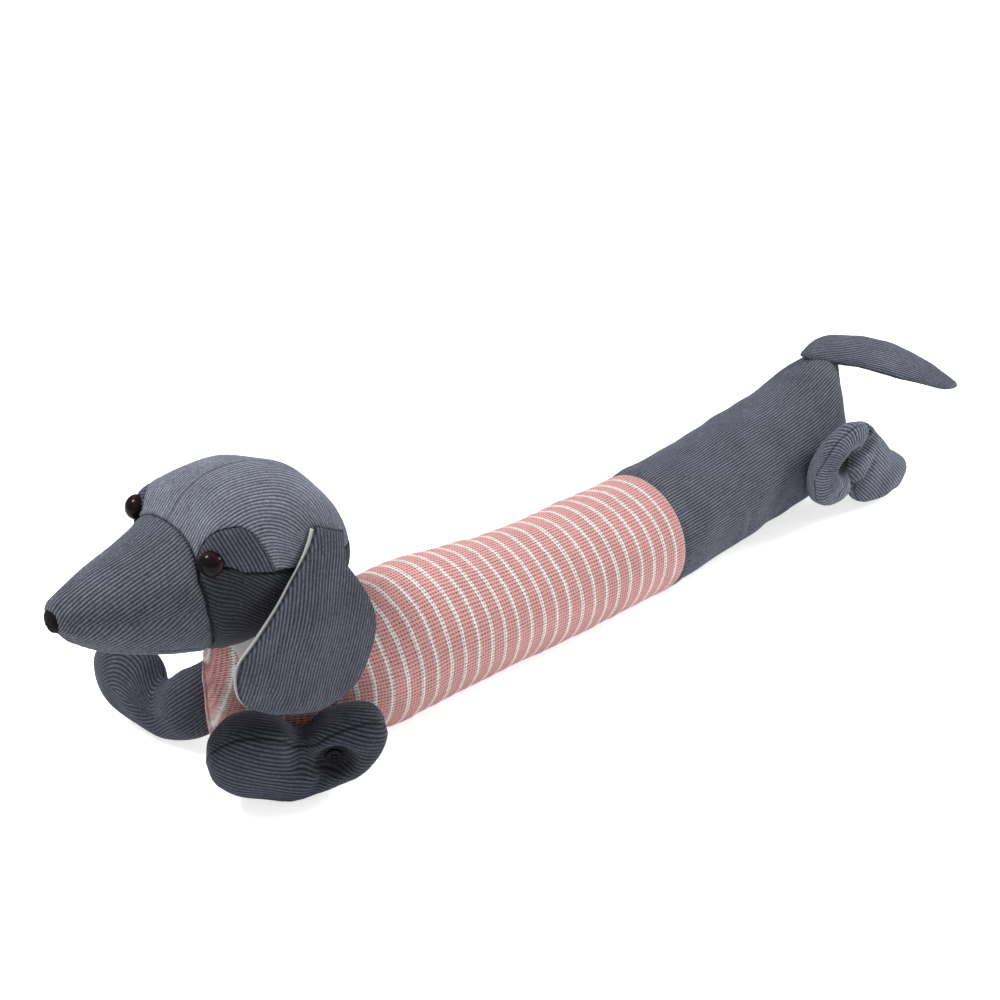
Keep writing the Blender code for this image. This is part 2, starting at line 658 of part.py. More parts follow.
def main():
    for old in list(bpy.data.objects):
        bpy.data.objects.remove(old, do_unlink=True)
    slate = material("corduroy_slate", (0.060, 0.068, 0.085), 0.85)
    light = material("corduroy_light", (0.100, 0.110, 0.130), 0.85)
    navy = material("corduroy_navy", (0.030, 0.035, 0.050), 0.85)
    pink = material("knit_pink", (0.56, 0.26, 0.26), 0.90)
    pale = material("cotton_pale", (0.60, 0.60, 0.58), 0.90)
    black = material("plastic_black", (0.010, 0.009, 0.009), 0.15)
    make_body(slate)
    make_jumper(pink)
    around_body = body_cutter()
    around_head = head_cutter()
    make_head(light, navy, slate)
    make_neck_band(pale, (around_body, around_head))
    for name, side in (("near", 1), ("far", -1)):
        make_eye(name, black, around_head)
        make_ear(name, side, slate, pale)
    nose_mesh("nose", 0.0, black)
    make_tail(slate, around_body)
    for name in LEGS:
        make_leg(name, navy, around_body)
        make_button(name, black)


main()
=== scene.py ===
"""Sausage-dog draught excluder, in cloth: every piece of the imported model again, finely made, with
its corduroy ribs, knitting, seams and folds. Metres, +Z up, nose towards -X, near side -Y."""

import json
import math

import bmesh
import bpy
import numpy as np
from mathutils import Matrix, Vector

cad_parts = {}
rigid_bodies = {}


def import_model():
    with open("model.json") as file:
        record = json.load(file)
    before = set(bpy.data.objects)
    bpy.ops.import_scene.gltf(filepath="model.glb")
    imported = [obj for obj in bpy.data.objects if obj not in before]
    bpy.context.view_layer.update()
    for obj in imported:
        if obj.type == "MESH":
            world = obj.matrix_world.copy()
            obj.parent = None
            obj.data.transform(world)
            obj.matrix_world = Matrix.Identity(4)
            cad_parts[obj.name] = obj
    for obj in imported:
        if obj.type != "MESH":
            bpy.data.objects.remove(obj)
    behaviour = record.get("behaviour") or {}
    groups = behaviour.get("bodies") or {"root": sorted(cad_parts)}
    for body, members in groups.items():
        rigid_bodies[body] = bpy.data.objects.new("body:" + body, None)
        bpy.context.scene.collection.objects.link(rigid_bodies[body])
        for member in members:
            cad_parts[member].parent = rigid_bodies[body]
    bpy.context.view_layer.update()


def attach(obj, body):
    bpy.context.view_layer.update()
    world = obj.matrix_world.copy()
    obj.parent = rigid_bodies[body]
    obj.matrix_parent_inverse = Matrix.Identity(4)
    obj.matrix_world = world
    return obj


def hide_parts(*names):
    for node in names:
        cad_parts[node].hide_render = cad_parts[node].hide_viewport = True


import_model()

bl_info = {
    "name": "Sausage-dog draught excluder",
    "version": (1, 0, 0),
    "blender": (4, 5, 0),
    "location": "3D View > Sidebar > Draught excluder",
    "description": "Builds a corduroy and knit draught excluder piece by piece",
    "category": "Add Mesh",
}

# From the middle of the bounding box to the layout's own zero
SHIFT = (-0.2581, -0.0209)
SIDES = (("near", 1), ("far", -1))

# Body: x, y of the centre line, half width, bottom, top
BODY = (
    (-0.1030, 0.0260, 0.0020, 0.0220, 0.0900),
    (-0.1000, 0.0250, 0.0080, 0.0100, 0.1010),
    (-0.0880, 0.0180, 0.0170, 0.0030, 0.1080),
    (-0.0650, 0.0080, 0.0290, 0.0000, 0.1140),
    (-0.0300, 0.0010, 0.0445, 0.0000, 0.1150),
    (0.0150, -0.0030, 0.0560, 0.0000, 0.1140),
    (0.0700, -0.0050, 0.0587, 0.0000, 0.1145),
    (0.1260, -0.0095, 0.0558, 0.0000, 0.1090),
    (0.2000, -0.0150, 0.0541, 0.0000, 0.1060),
    (0.2700, -0.0205, 0.0546, 0.0000, 0.1070),
    (0.3320, -0.0212, 0.0553, 0.0000, 0.1080),
    (0.3900, -0.0165, 0.0546, 0.0000, 0.1070),
    (0.4760, -0.0097, 0.0560, 0.0000, 0.1090),
    (0.5500, -0.0045, 0.0570, 0.0000, 0.1150),
    (0.5950, -0.0020, 0.0480, 0.0000, 0.1285),
    (0.6240, 0.0000, 0.0270, 0.0010, 0.1320),
    (0.6440, 0.0000, 0.0060, 0.0040, 0.1265),
    (0.6485, 0.0000, 0.0020, 0.0150, 0.1080),
)
BODY_SINK = 0.04        # share of its height that the section's round loses to the flat underside
FLAT_EDGE = 0.0030      # rounding where the side meets the flat underside
HEM_X = 0.3220          # rear edge of the jumper
HEM_STEP = 0.0080       # length over which the body swells out behind the hem
STITCH = 0.0043         # along a seam, from one pulled-up wave to the next
PUCKER_DRIFT = 0.0230   # length over which those waves crowd and spread
PUCKER_FADE = 0.0026    # how far beside the seam they fade
KNIT = 0.0018           # jumper cloth
GAP = 0.0003            # between pieces that touch
BODY_RIBS = 130         # round the body
BODY_ROUND = 0.350      # its girth, over which its tucks are placed
WALES = 116             # columns of knitting round the jumper
WALE = 0.0030           # width of one of them
COURSE = 0.0026         # height of one row of stitches
CHEST_SLANT = 0.22      # how far forward the stripes run down the chest, for each metre down
CHEST_PULL = 0.010      # how far forward they are pulled halfway up it
CHEST_HEIGHT = 0.110
CHEST_FROM = -0.0300    # where that starts to fade in, and the length that it takes
CHEST_FADE = 0.0650
SHOULDER = -0.0600      # where the jumper's finer rows over the chest end

# Tucks in the body's cloth: x, how far round from the top (near side is minus), which way they
# run (degrees from the body's length), half length, half width, depth
BODY_TUCKS = (
    (0.4230, -0.0950, 100.0, 0.0200, 0.0050, 0.0022),
    (0.3700, -0.0880, 80.0, 0.0240, 0.0110, 0.0008),
    (0.4900, -0.1050, 50.0, 0.0260, 0.0100, 0.0010),
)

# Head: x, bottom, widest level, top, half width, roundness of the upper half (1 is an ellipse)
HEAD_Y = 0.0190
HEAD_MIDDLE = (-0.0900, HEAD_Y, 0.1800)
HEAD_SHEAR = -0.10
HEAD = (
    (-0.2160, 0.1825, 0.1825, 0.1825, 0.0000, 1.00),
    (-0.2130, 0.1725, 0.1825, 0.1915, 0.0105, 1.00),
    (-0.2050, 0.1612, 0.1815, 0.1970, 0.0175, 1.00),
    (-0.1880, 0.1478, 0.1790, 0.2027, 0.0260, 1.02),
    (-0.1650, 0.1352, 0.1770, 0.2080, 0.0365, 1.05),
    (-0.1400, 0.1255, 0.1755, 0.2135, 0.0450, 1.05),
    (-0.1180, 0.1195, 0.1760, 0.2215, 0.0520, 0.95),
    (-0.1000, 0.1180, 0.1780, 0.2370, 0.0590, 0.78),
    (-0.0800, 0.1180, 0.1790, 0.2440, 0.0620, 0.80),
    (-0.0500, 0.1180, 0.1790, 0.2430, 0.0630, 0.88),
    (-0.0250, 0.1200, 0.1790, 0.2320, 0.0585, 0.95),
    (-0.0080, 0.1270, 0.1790, 0.2180, 0.0485, 0.95),
    (0.0020, 0.1420, 0.1790, 0.2020, 0.0320, 0.95),
    (0.0065, 0.1780, 0.1780, 0.1780, 0.0000, 1.00),
)
LOWER_ROUNDNESS = 0.92  # of the lower half
CROWN_RIB = 0.90        # width of the crown's ribs, by share of the others'
# Its ribs fan out towards the nape: by how much for each metre back, from which share of the rows,
# over what length that starts, radians down from the crown where it is full, and its limit
FAN, FAN_FROM, FAN_EASE, FAN_DOWN, FAN_MOST = 0.45, 0.63, 0.008, 0.87, 1.3
CONE = 0.293            # turn of the flat cloth for each turn round the muzzle
# The brows stand out: where along the rows, how far down from the crown, their spread, height
BULGE_AT, BULGE_DOWN = 0.505, 48.0
BULGE_LONG, BULGE_ROUND = 0.045, 26.0
BULGE = 0.0055
BULGE_FORWARD = 0.7     # share of its height that it also leans forward
RING = 0.450            # share of the head's rows where the muzzle meets the crown
# That seam bows: degrees down from the crown, and the share of the rows it moves back by
RING_BOW = (
    (0, 0.011), (20, 0.010), (32, 0.006), (44, -0.002), (62, -0.020),
    (90, -0.024), (115, -0.018), (130, -0.011), (180, -0.008),
)
RING_BOW_LONG = 0.09    # how far along the rows the bow is felt
PANEL = 0.0022          # corduroy panels let into the head
UNDER_PANEL = 0.0032    # how far the filled part is sunk beneath them
SEAM_DEPTH = 0.0016     # how far the head's cloths are drawn in at a seam
RING_ROLL, RING_DEPTH = 0.0030, 0.0028  # the same at the muzzle's seam with the crown

# Seams on the near side, mirrored on the far one, in degrees down from the crown. Brow patch:
# share of the rows, upper edge, lower edge. Cheek behind it: share of the rows, upper edge
BROW = (
    (0.454, 44.0, 50.0),
    (0.472, 39.5, 55.0),
    (0.500, 39.0, 60.0),
    (0.524, 40.5, 68.0),
    (0.545, 43.0, 77.0),
    (0.578, 47.0, 81.0),
    (0.602, 57.0, 83.0),
    (0.615, 75.0, 84.0),
    (0.620, 83.0, 84.5),
)
CHEEK = (
    (0.665, 86.0),
    (0.720, 88.0),
    (0.780, 89.0),
    (0.850, 91.0),
    (0.920, 94.0),
)
# The cheek's ribs run back and up, steeper near the muzzle: by how much, how far, and their width
CHEEK_BEND, CHEEK_BEND_LONG, CHEEK_STEEP = 0.032, 0.035, 1.4
FAR_BROW_RAISE = 6.0    # degrees that the far brow patch sits higher by
GUSSET_START = 0.160
GUSSET_POINT = 0.020    # share of the rows over which its front runs to a point
GUSSET_EDGE = (165.0, 150.0, 141.0, 137.0, 135.0, 135.0, 135.0, 135.0)
EYE_AT = {"near": 0.486, "far": 0.482}
EYE_DOWN = {"near": 55.0, "far": 45.0}   # degrees down from the crown
EYE_RADIUS = 0.0090
EYE_DEPTH = 0.0080      # how far the dome stands out
NOSE_AT = (0.0050, -0.0010, 0.0000)     # from the muzzle's tip
NOSE_SIZE = (0.0075, 0.0085, 0.0095)

# Near ear's outline, from its sewn edge down: front x and z, back x and z, y
EAR = (
    (-0.0420, 0.2110, -0.0185, 0.1970, -0.0388),
    (-0.0540, 0.2000, -0.0240, 0.1880, -0.0460),
    (-0.0725, 0.1847, -0.0265, 0.1790, -0.0505),
    (-0.0890, 0.1710, -0.0200, 0.1640, -0.0550),
    (-0.1105, 0.1552, -0.0140, 0.1480, -0.0590),
    (-0.1262, 0.1437, -0.0112, 0.1312, -0.0610),
    (-0.1305, 0.1280, -0.0150, 0.1150, -0.0625),
    (-0.1270, 0.1140, -0.0220, 0.1030, -0.0635),
    (-0.1130, 0.1010, -0.0310, 0.0900, -0.0635),
    (-0.0950, 0.0900, -0.0430, 0.0830, -0.0625),
    (-0.0740, 0.0825, -0.0600, 0.0805, -0.0620),
)
EAR_MIDDLE = (-0.0800, 0.1300)
EAR_BOW = 0.0030        # outward swell across an ear
EAR_CLOTH = 0.0022      # each of its two cloths
EAR_GAP = 0.0003        # from the ear's middle to each cloth
EAR_CURL = 0.0020       # how far the lower front edge turns back
EAR_FOLD = -0.0018      # of the soft fold beside it
EAR_RIBS = (0.906, -0.423)  # across the ribs, in x and z
# How far the lining shows past the corduroy, by share of the ear's length: in front, behind
PLAIN_EDGE = ((0.0, 0.0), (1.0, 0.0))
LINING_FRONT = (
    (0.0, 0.0012), (0.10, 0.0010), (0.18, -0.0004), (0.27, 0.0004), (0.40, 0.0016),
    (0.52, 0.0016), (0.62, 0.0008), (0.75, -0.0004), (1.0, -0.001),
)
LINING_BACK = ((0.0, -0.002), (1.0, -0.002))
LINING_SPAN = (0.03, 0.985)     # from and to which share of the ear's length it runs

# Neck band under the head: middle x, y, half length, half width
NECK = (-0.0480, 0.0110, 0.0380, 0.0265)
NECK_CLOTH = 0.0012
NECK_RADIUS = 0.0370    # that its weave is laid round

# Tail: share of its length, height, half width, half thickness
TAIL_FROM = (0.6030, 0.0110)
TAIL_TO = (0.7330, -0.0870)
TAIL_TILT = 35.0        # of its width above the horizontal, degrees
TAIL_SLANT = 1.1        # of its sewn end: how far the far edge starts behind, by half width
TAIL_SLANT_LONG = 0.30  # share of its length over which that fades
TAIL = (
    (0.000, 0.1380, 0.0060, 0.0020),
    (0.020, 0.1380, 0.0095, 0.0045),
    (0.100, 0.1365, 0.0140, 0.0070),
    (0.250, 0.1335, 0.0170, 0.0085),
    (0.450, 0.1265, 0.0195, 0.0090),
    (0.650, 0.1148, 0.0195, 0.0085),
    (0.800, 0.1040, 0.0160, 0.0070),
    (0.900, 0.0960, 0.0115, 0.0055),
    (0.960, 0.0917, 0.0070, 0.0045),
    (1.000, 0.0897, 0.0030, 0.0020),
)
TAIL_RIBS = 42
TAIL_ROUND = 0.090      # girth of its widest part

# Front and hind legs, seen from the side: along, bottom, top, half thickness
FRONT_LEG = (
    (-0.0670, 0.0420, 0.0420, 0.0000),
    (-0.0630, 0.0260, 0.0570, 0.0110),
    (-0.0500, 0.0140, 0.0690, 0.0170),
    (-0.0320, 0.0055, 0.0720, 0.0190),
    (-0.0140, 0.0010, 0.0660, 0.0185),
    (0.0020, 0.0000, 0.0515, 0.0175),
    (0.0200, 0.0050, 0.0640, 0.0180),
    (0.0400, 0.0140, 0.0700, 0.0175),
    (0.0540, 0.0285, 0.0680, 0.0145),
    (0.0610, 0.0390, 0.0600, 0.0095),
    (0.0640, 0.0480, 0.0480, 0.0000),
)
HIND_LEG = (
    (-0.0420, 0.0640, 0.0640, 0.0000),
    (-0.0390, 0.0490, 0.0820, 0.0110),
    (-0.0280, 0.0300, 0.1020, 0.0170),
    (-0.0080, 0.0205, 0.1110, 0.0195),
    (0.0080, 0.0220, 0.1095, 0.0190),
    (0.0180, 0.0340, 0.1060, 0.0180),
    (0.0240, 0.0460, 0.1010, 0.0170),
    (0.0310, 0.0220, 0.0935, 0.0185),
    (0.0470, 0.0030, 0.0800, 0.0205),
    (0.0680, 0.0000, 0.0610, 0.0210),
    (0.0890, 0.0000, 0.0470, 0.0190),
    (0.1015, 0.0020, 0.0370, 0.0135),
    (0.1060, 0.0180, 0.0180, 0.0000),
)

# Soft valleys and ridges that stuffing and stitches leave in a leg's outer side: from and to,
# along and up; half width; depth, minus for a ridge
FRONT_FOLDS = (
    (0.0010, 0.0620, 0.0030, 0.0380, 0.0085, 0.0070),
    (0.0020, 0.0360, 0.0060, 0.0100, 0.0120, 0.0030),
    (0.0130, 0.0500, 0.0460, 0.0520, 0.0060, -0.0016),
)
HIND_FOLDS = (
    (-0.0130, 0.0880, 0.0060, 0.0920, 0.0028, 0.0045),
    (0.0060, 0.0920, 0.0130, 0.1000, 0.0026, 0.0055),
    (0.0130, 0.1000, 0.0150, 0.1120, 0.0026, 0.0050),
    (-0.0130, 0.0750, 0.0110, 0.0420, 0.0060, 0.0060),
    (-0.0180, 0.0640, -0.0170, 0.0420, 0.0030, 0.0025),
    (-0.0260, 0.0880, -0.0260, 0.0560, 0.0080, -0.0022),
)

# Each kind of leg: outline; where its button sits, along and up; ends of the creases that run from
# it; folds; where its side strip is sewn on, by share of its thickness; its ribs' slant, degrees
# down towards the rear
LEG_KINDS = {
    "front": (FRONT_LEG, (0.0235, 0.0380), ((0.0085, 0.0130),), FRONT_FOLDS, 0.62, 23.0),
    "hind": (HIND_LEG, (-0.0130, 0.0750), ((0.0230, 0.0970), (0.0100, 0.0440)), HIND_FOLDS, 0.25, 42.0),
}

# Each leg: middle (x, y), turn in plan, bend in plan and where along it bends, lean out with
# height, height scale, side that faces out, fullness of its inner side
LEGS = {
    "front_leg_near": ((-0.0755, -0.0480), -32.0, 0.0, 0.0, 0.05, 1.00, -1, 1.82),
    "front_leg_far": ((-0.1065, 0.0815), -76.0, 88.0, 0.034, 0.00, 1.04, 1, 1.00),
    "hind_leg_near": ((0.5450, -0.0700), -3.0, 0.0, 0.0, 0.20, 1.00, -1, 1.00),
    "hind_leg_far": ((0.5480, 0.0800), 6.0, 0.0, 0.0, -0.35, 0.52, 1, 1.00),
}
BEND_LENGTH = 0.050     # stretch of a leg that takes its bend
BUTTON_RADIUS = 0.0065
BUTTON_THICK = 0.0026
# Half a button's section, from its back edge round to its middle: share of its radius, of its height
BUTTON_SECTION = (
    (0.90, 0.0), (1.0, 0.10), (1.0, 0.75), (0.93, 1.0), (0.80, 0.97),
    (0.70, 0.72), (0.55, 0.62), (0.30, 0.62), (0.06, 0.62),
)
BUTTON_HOLES = 4
BUTTON_HOLE = 0.00092   # radius of each hole
BUTTON_HOLE_OUT = 0.0020  # from the button's middle
HOLE_ROOM = 0.0010      # how far a hole's cutter stands out on each side
DIMPLE_FLOOR = 0.0060   # the dimple's floor, out from the leg's middle
DIMPLE_RADIUS = 0.0085
DIMPLE_FADE = 0.0060
CREASE_WIDTH = 0.0050
CREASE_DEPTH = 0.75     # share of the dimple's, where it leaves the dimple
CREASE_FADE = 0.60      # share of that which it loses on the way to its end
# The finish paints shade in a leg's button hollow, where it reads this seam distance as 0.
HOLLOW_SHADE = 0.0014   # seam distance that the finish reads outside the hollow, 0 in it
RADIAL = 0.026          # from a hind button to where the ribs that fan out round it are as wide as usual
THIGH_SEAM = (0.75, -0.73)  # slope of the seam behind that fan, above and below the button
THIGH_LONG = 0.045      # and its length each way

# Rows and columns of the finished meshes
BODY_ROWS = (12, 6, 78)     # under the jumper, at its hem and behind it
JUMPER_ROWS = (26, 104)     # over the chest and behind it
LINED_ROWS = 34             # of the jumper's inner face
MUZZLE_GRID = (90, 600)
CROWN_ROWS = (104, 8)       # behind the ring seam, and at the nape
CROWN_COLUMNS = (186, 18)   # down the side, and under the cheek
GUSSET_GRID = (64, 90)
BROW_GRID = (70, 60)
CHEEK_GRID = (96, 84)
EYE_GRID = (30, 56)
NOSE_GRID = (36, 60)
NECK_GRID = (16, 160)
EAR_GRID = (80, 150)
LINING_GRID = (70, 56)
TAIL_ROWS = 90
RIB_COLUMNS = 6             # for each rib of the body and the tail
WALE_COLUMNS = 4            # for each column of knitting
LEG_GRID = (80, 240)
BUTTON_GRID = (33, 64)

# Camera: place, level direction in degrees from +Y towards +X, degrees down, lens
CAMERA_AT = (-0.8304, -0.7905, 0.7148)
CAMERA_HEADING = 44.02
CAMERA_PITCH = 28.5
CAMERA_LENS = 54.0


# ---- Settings that a user would change ----


def size_setting(name, description, default):
    return bpy.props.FloatProperty(
        name=name, description=description, default=default, min=0.0, precision=5, unit="LENGTH"
    )


def colour_setting(name, description, default):
    return bpy.props.FloatVectorProperty(
        name=name, description=description, default=default, min=0.0, max=1.0, size=3, subtype="COLOR"
    )


class ClothSizes(bpy.types.PropertyGroup):
    rib: size_setting("Rib width", "From one corduroy rib to the next", 0.0027)
    wide_rib: size_setting("Wide rib width", "The same on the front legs", 0.0032)
    rib_depth: size_setting("Rib depth", "Height of a corduroy rib above its groove", 0.00042)
    seam: size_setting("Seam roll", "Radius that a sewn edge rolls in with", 0.0022)
    pucker: size_setting("Pucker", "Height of the small waves that stitches pull up", 0.00028)
    stripe_pitch: size_setting("Stripe pitch", "From one white stripe to the next", 0.0138)
    stripe_width: size_setting("Stripe width", "Width of a white stripe", 0.0036)


class ClothColours(bpy.types.PropertyGroup):
    slate: colour_setting("Slate corduroy", "Body, muzzle, ears and tail", (0.160, 0.170, 0.212))
    light: colour_setting("Worn corduroy", "Back of the head", (0.255, 0.268, 0.330))
    navy: colour_setting("Navy corduroy", "Brows, cheeks and the near front leg", (0.090, 0.096, 0.128))
    pink: colour_setting("Pink knit", "Jumper between its stripes", (0.680, 0.345, 0.335))
    white: colour_setting("White knit", "Jumper's stripes", (0.880, 0.820, 0.780))
    pale: colour_setting("Pale cotton", "Ear linings and neck band", (0.460, 0.450, 0.450))
    black: colour_setting("Black", "Nose, eyes and buttons", (0.008, 0.007, 0.008))
    amber: colour_setting("Amber", "Ring of the eyes", (0.034, 0.007, 0.007))


def sizes():
    return bpy.context.scene.dog_sizes


def colours():
    return bpy.context.scene.dog_colours


# ---- Shape helpers ----


def flow(rows, count):
    """A smooth run of `count` rows through a table's rows, even in row number."""
    rows = np.asarray(rows, float)
    slope = np.gradient(rows, axis=0)
    at = np.linspace(0, len(rows) - 1, count)
    i = np.minimum(at.astype(int), len(rows) - 2)
    t = (at - i)[:, None]
    return (
        (2 * t**3 - 3 * t**2 + 1) * rows[i]
        + (t**3 - 2 * t**2 + t) * slope[i]
        + (3 * t**2 - 2 * t**3) * rows[i + 1]
        + (t**3 - t**2) * slope[i + 1]
    )


def rounded(value, power):
    return np.sign(value) * np.abs(value) ** power


def eased(value, low, high):
    share = np.clip((value - low) / (high - low), 0, 1)
    return share * share * (3 - 2 * share)


def bell(value, width):
    return np.exp(-((value / width) ** 2))


def lumps(points, size, seed):
    """Soft random swells, about -1 to 1 and `size` across, at places in metres."""
    draw = np.random.default_rng(seed)
    waves = draw.normal(size=(12, 3))
    each = draw.uniform(0.6, 1.3, (12, 1)) / np.linalg.norm(waves, axis=1, keepdims=True)
    waves *= (2 * np.pi / size) * each
    return np.sin(points @ waves.T + draw.uniform(0, 2 * np.pi, 12)).sum(axis=-1) / 3.4


def arc(points, axis):
    """Length run along the grid from its first row or column."""
    step = np.linalg.norm(np.diff(points, axis=axis), axis=-1)
    return np.insert(np.cumsum(step, axis=axis), 0, 0.0, axis=axis)


def to_edges(points):
    """Distance from each place on a grid to the nearest of its edges."""
    run, across = arc(points, 0), arc(points, 1)
    return np.minimum.reduce([run, run[-1:] - run, across, across[:, -1:] - across])


def outward(points, closed=False, middle=None):
    """Unit normals of a grid, facing away from the middle."""
    along = np.gradient(points, axis=0)
    if closed:
        across = (np.roll(points, -1, axis=1) - np.roll(points, 1, axis=1)) / 2
    else:
        across = np.gradient(points, axis=1)
    normal = np.cross(along, across)
    normal /= np.maximum(np.linalg.norm(normal, axis=-1, keepdims=True), 1e-12)
    away = points - (points.mean(axis=(0, 1)) if middle is None else middle)
    return normal * np.sign((normal * away).sum())


def ribbed(rib, pitch):
    """0 on top of a rib and 1 in the groove beside it."""
    return (0.5 - 0.5 * np.cos(2 * np.pi * rib / pitch)) ** 1.4


def rolled(away, radius, depth):
    """How far a sewn edge has rolled in, `away` from the seam."""
    share = np.clip(1 - away / radius, 0, 1)
    return depth * (1 - np.sqrt(1 - share * share))


def puckered(away, run, seed):
    """Small waves beside a seam that runs along `run`."""
    draw = np.random.default_rng(seed)
    drift = 1.3 * np.sin(2 * np.pi * run / PUCKER_DRIFT + draw.uniform(0, 6))
    return sizes().pucker * np.sin(2 * np.pi * run / STITCH + drift) * np.exp(-away / PUCKER_FADE)


def tucked(x, across, tucks):
    """Folds in flat-lying cloth: a valley with a lower ridge beside it."""
    depth = 0 * x
    for at, round_it, turn, long, wide, deep in tucks:
        turn = math.radians(turn)
        dx, dy = x - at, across - round_it
        run = dx * math.cos(turn) + dy * math.sin(turn)
        off = dy * math.cos(turn) - dx * math.sin(turn)
        depth = depth - deep * bell(run, long) * (bell(off, wide) - 0.8 * bell(off - 1.5 * wide, wide))
    return depth


# ---- Mesh helpers ----


class Cloth:
    """Grids of points joined into one closed mesh, with marks that the finishes read: `rib` is the
    distance across the ribs, `run` along them and `seam` from the nearest seam."""

    # On a leg the seam mark is also 0 in its button's hollow, where the corduroy paints shade.
    MARKS = ("rib", "run", "seam")

    def __init__(self):
        self.points, self.faces, self.count = [], [], 0
        self.marks = {name: [] for name in self.MARKS}

    def add(self, points, **marks):
        shape = points.shape[:-1]
        self.points.append(points.reshape(-1, 3))
        for name in self.MARKS:
            value = np.broadcast_to(marks.get(name, 0.02 if name == "seam" else 0.0), shape)
            self.marks[name].append(value.reshape(-1))
        first, self.count = self.count, self.count + int(np.prod(shape))
        return np.arange(first, self.count).reshape(shape)

    def join(self, index, closed=False):
        """Four-sided faces over a grid of point numbers."""
        if closed:
            index = np.concatenate([index, index[:, :1]], axis=1)
        corners = (index[:-1, :-1], index[:-1, 1:], index[1:, 1:], index[1:, :-1])
        self.faces.extend(np.stack(corners, -1).reshape(-1, 4).tolist())

    def grid(self, points, closed=False, **marks):
        index = self.add(points, **marks)
        self.join(index, closed)
        return index

    def filled(self, points, start, end, **marks):
        """Loops joined into a tube that closes to a point at each end."""
        index = self.grid(points, True, **marks)
        self.tip(index[0], start)
        self.tip(index[-1], end)

    def two_layers(self, outer, inner, **marks):
        """A cloth with an outer and an inner face."""
        self.rim(self.grid(outer, **marks), self.grid(inner, **marks))

    def tip(self, loop, point, **marks):
        end = int(self.add(np.array([point], float), **marks)[0])
        self.faces.extend([[int(a), int(b), end] for a, b in zip(loop, np.roll(loop, -1))])

    def rim(self, one, two):
        """Joins the borders of two grids of the same size."""
        def border(index):
            return np.concatenate([index[0, :-1], index[:-1, -1], index[-1, :0:-1], index[:0:-1, 0]])
        self.join(np.stack([border(one), border(two)]), closed=True)

    def make(self, name, finish):
        points = np.concatenate(self.points) + (*SHIFT, 0.0)
        data = bpy.data.meshes.new(name)
        data.from_pydata(points, [], self.faces)
        for mark, values in self.marks.items():
            layer = data.attributes.new(mark, "FLOAT", "POINT")
            layer.data.foreach_set("value", np.concatenate(values).astype(np.float32))
        mesh = bmesh.new()
        mesh.from_mesh(data)
        bmesh.ops.recalc_face_normals(mesh, faces=mesh.faces)
        mesh.to_mesh(data)
        mesh.free()
        data.shade_smooth()
        data.materials.append(finish)
        made = bpy.data.objects.new(name, data)
        bpy.context.scene.collection.objects.link(made)
        return made


def stand_for(made, node):
    """Rides on the part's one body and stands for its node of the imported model."""
    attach(made, "root")
    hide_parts(node)
    return made


def placed(cloth, node, finish, ending="cloth"):
    """A finished piece, named for its node and what it is."""
    return stand_for(cloth.make(f"{node}_{ending}", finish), node)


# ---- Shader helpers ----


class Wire:
    """A value in a node tree. Arithmetic on it adds Math nodes."""

    def __init__(self, tree, socket):
        self.tree, self.socket = tree, socket

    def math(self, operation, *others, clamp=False):
        made = self.tree.nodes.new("ShaderNodeMath")
        made.operation, made.use_clamp = operation, clamp
        for socket, value in zip(made.inputs, (self, *others)):
            feed(self.tree, socket, value)
        return Wire(self.tree, made.outputs[0])

    def __add__(self, other):
        return self.math("ADD", other)

    def __sub__(self, other):
        return self.math("SUBTRACT", other)

    def __mul__(self, other):
        return self.math("MULTIPLY", other)

    def __truediv__(self, other):
        return self.math("DIVIDE", other)

    def between(self, low, high, to_low=0.0, to_high=1.0):
        made = self.tree.nodes.new("ShaderNodeMapRange")
        made.interpolation_type = "SMOOTHSTEP"
        for socket, value in zip(made.inputs, (self, low, high, to_low, to_high)):
            feed(self.tree, socket, value)
        return Wire(self.tree, made.outputs[0])


def feed(tree, socket, value):
    if isinstance(value, Wire):
        tree.links.new(value.socket, socket)
    else:
        socket.default_value = value


def mark(tree, name):
    made = tree.nodes.new("ShaderNodeAttribute")
    made.attribute_name = name
    return Wire(tree, made.outputs["Fac"])


def place_in(tree):
    return Wire(tree, tree.nodes.new("ShaderNodeTexCoord").outputs["Object"])


def vector(tree, *parts):
    made = tree.nodes.new("ShaderNodeCombineXYZ")
    for socket, value in zip(made.inputs, parts):
        feed(tree, socket, value)
    return Wire(tree, made.outputs[0])


def noise(tree, place, scale=1.0, detail=2.0, rough=0.5):
    made = tree.nodes.new("ShaderNodeTexNoise")
    feed(tree, made.inputs["Vector"], place)
    made.inputs["Scale"].default_value = scale
    made.inputs["Detail"].default_value = detail
    made.inputs["Roughness"].default_value = rough
    return Wire(tree, made.outputs[0])


def mixed(tree, share, one, two, blend="MIX"):
    made = tree.nodes.new("ShaderNodeMix")
    made.data_type, made.blend_type = "RGBA", blend
    feed(tree, made.inputs[0], share)
    feed(tree, made.inputs[6], one)
    feed(tree, made.inputs[7], two)
    return Wire(tree, made.outputs[2])


def group(name, inputs):
    """A new shader node group for a cloth: its tree, and its inputs as wires. A tuple is a colour."""
    tree = bpy.data.node_groups.new(name, "ShaderNodeTree")
    for socket, default in inputs.items():
        kind = "NodeSocketColor" if isinstance(default, tuple) else "NodeSocketFloat"
        tree.interface.new_socket(socket, in_out="INPUT", socket_type=kind).default_value = default
    for socket in ("Colour", "Height", "Roughness"):
        kind = "NodeSocketColor" if socket == "Colour" else "NodeSocketFloat"
        tree.interface.new_socket(socket, in_out="OUTPUT", socket_type=kind)
    start = tree.nodes.new("NodeGroupInput")
    return tree, {socket: Wire(tree, start.outputs[socket]) for socket in inputs}


def put_out(tree, **values):
    end = tree.nodes.new("NodeGroupOutput")
    for socket, value in values.items():
        feed(tree, end.inputs[socket], value)


